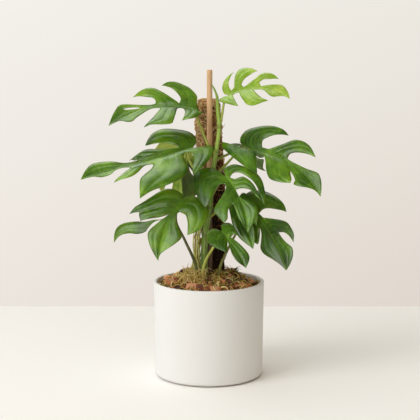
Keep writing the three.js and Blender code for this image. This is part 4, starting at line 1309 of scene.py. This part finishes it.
# Upright tufts by the stems: (x, y, spread, height, how many strands, lowest tone, highest tone)
TUFTS = [
    (34, 6, 8, 17, 26, 0.1, 0.45),
    (24, -6, 8, 11, 30, 0.1, 0.7),
    (-24, -8, 13, 17, 120, 0.65, 1.0),
    (-38, 4, 8, 11, 46, 0.4, 0.9),
    (-27, -24, 11, 15, 90, 0.5, 1.0),
    (-12, -34, 9, 23, 110, 0.5, 1.0),
    (-9, -44, 8, 11, 50, 0.5, 1.0),
    (10, -28, 8, 11, 44, 0.4, 0.9),
    (16, -42, 9, 8, 30, 0.3, 0.8),
    (8, 36, 13, 9, 50, 0.1, 0.9),
]


def moss_tufts():
    """Tufts of short strands that fan out and up from near one spot."""
    draw = np.random.default_rng(91)
    t = np.linspace(0, 1, 7)[None]
    paths, tones = [], []
    for x, y, spread, height, count, low, high in TUFTS:
        foot = np.array([x, y]) + draw.normal(0, spread * 0.45, (count, 2))
        lean = draw.normal(0, spread * 0.6, (count, 2))
        tall = height * draw.uniform(0.4, 1.0, (count, 1))
        px = foot[:, :1] + lean[:, :1] * t**1.6
        py = foot[:, 1:] + lean[:, 1:] * t**1.6
        rise = tall * np.sin(t * draw.uniform(1.3, 2.6, (count, 1)))
        pz = soil_height(foot[:, :1], foot[:, 1:]) - 1 + rise
        paths.append(np.stack([px, py, pz], -1))
        tones.append(draw.uniform(low, high, (count, 1)))
    paths = np.concatenate(paths)
    thick = draw.uniform(0.35, 0.75, (len(paths), 1)) * (1 - 0.8 * t**2)
    return tubes(paths, thick, 4, tone=np.concatenate(tones))


# Stage, light and camera

def floor_finish():
    """Pale matt paper with a very faint broad cloud."""

    def colour_of(tree):
        cloud = noise(tree, object_place(tree), 3.0, 2.0)
        return blended(tree, cloud, tint(249, 248, 245), tint(251, 250, 248)), None, 0, None

    return finish_of("pale_floor", colour_of, 0.6, 0.25)


def floor():
    """A plain pale floor that ends a little way behind the plant."""
    corners = [[-3.0, -3.0, 0], [3.0, -3.0, 0], [3.0, 0.413, 0], [-3.0, 0.413, 0]]
    mesh = bpy.data.meshes.new("floor")
    mesh.from_pydata(corners, [], [[0, 1, 2, 3]])
    mesh.materials.append(floor_finish())
    placed("floor", mesh)


def area_light(name, place, aim, size, power, colour):
    """A round soft light at a place, turned to aim. Gloss doesn't see it: the world's boxes stand for it
    there."""
    light = bpy.data.lights.new(name, "AREA")
    light.shape = "DISK"
    light.size = size
    light.energy = power
    light.color = colour
    made = placed(name, light)
    made.location = place
    made.visible_glossy = False
    x, y, z = np.asarray(aim) - np.asarray(place)
    made.rotation_euler = (math.atan2(math.hypot(x, y), -z), 0, math.atan2(y, x) - math.pi / 2)


def world():
    """A cream backdrop to the eye, brightest at the upper left. For the plant a soft light that fades
    from white on the left to a dim warm one on the right. Gloss sees two soft boxes: one in front, one
    high at the back."""
    made = bpy.data.worlds.new("studio")
    made.use_nodes = True
    tree = made.node_tree
    tree.nodes.clear()
    shine = lambda colour: node(tree, "Background", {"Color": colour, "Strength": 1.0}).outputs[0]
    around = node(tree, "TexCoord", {}).outputs["Generated"]
    way = node(tree, "SeparateXYZ", {0: around}).outputs
    light = blended(tree, climb(tree, way["X"], -1.0, 1.0), (1.12, 1.125, 1.11, 1.0), (0.31, 0.24, 0.14, 1.0))
    front = box_seen(tree, around, (-0.05, -0.94, 0.33), 0.985, 0.86)
    back = box_seen(tree, around, (-0.25, 0.38, 0.89), 0.98, 0.8)
    both = plus(tree, front, times(tree, back, 0.8), clamp=True)
    sheen = blended(tree, both, (0.1, 0.1, 0.09, 1.0), (5.0, 5.0, 4.7, 1.0))
    across = climb(tree, way["X"], -0.18, 0.18)
    high = blended(tree, across, tint(244, 241, 234), tint(237, 233, 225))
    low = blended(tree, across, tint(236, 229, 221), tint(224, 215, 206))
    seen = blended(tree, climb(tree, way["Z"], -0.22, 0.04), low, high)
    path = node(tree, "LightPath", {}).outputs
    lit = node(tree, "MixShader", {0: path["Is Glossy Ray"], 1: shine(light), 2: shine(sheen)})
    mixed = node(tree, "MixShader", {0: path["Is Camera Ray"], 1: lit.outputs[0], 2: shine(seen)})
    node(tree, "OutputWorld", {0: mixed.outputs[0]})
    bpy.context.scene.world = made


def box_seen(tree, around, way, full, gone):
    """1 inside a round box of light that lies in the direction way, and 0 outside; full and gone are
    cosines."""
    towards = node(tree, "VectorMath", {0: around, 1: way}, operation="DOT_PRODUCT").outputs["Value"]
    return fade(tree, towards, full, gone)


def camera():
    """The camera where the photograph was taken from, pitched down along +Y."""
    lens = bpy.data.cameras.new("photo_camera")
    lens.lens = CAMERA_LENS
    lens.sensor_width = 36.0
    made = placed("photo_camera", lens)
    made.location = CAMERA_PLACE
    made.rotation_euler = (math.pi / 2 - CAMERA_PITCH, 0, 0)
    bpy.context.scene.camera = made


camera()
floor()
world()
area_light("window", (-1.9, -1.55, 2.1), (0, 0, 0.2), 1.8, 41.0, (1.0, 0.99, 0.98))
bpy.context.scene.view_settings.view_transform = "Standard"

pot_piece()
mix_piece()
bark_piece()
moss_piece()
coir_piece()
stake_piece()
stem_piece()
for root_name in ROOT_LINES:
    root_piece(root_name)
for leaf_name in LEAVES:
    leaf_piece(leaf_name, *LEAF_FINISHES.get(leaf_name, (LEAF_GREEN, "leaf_green")))
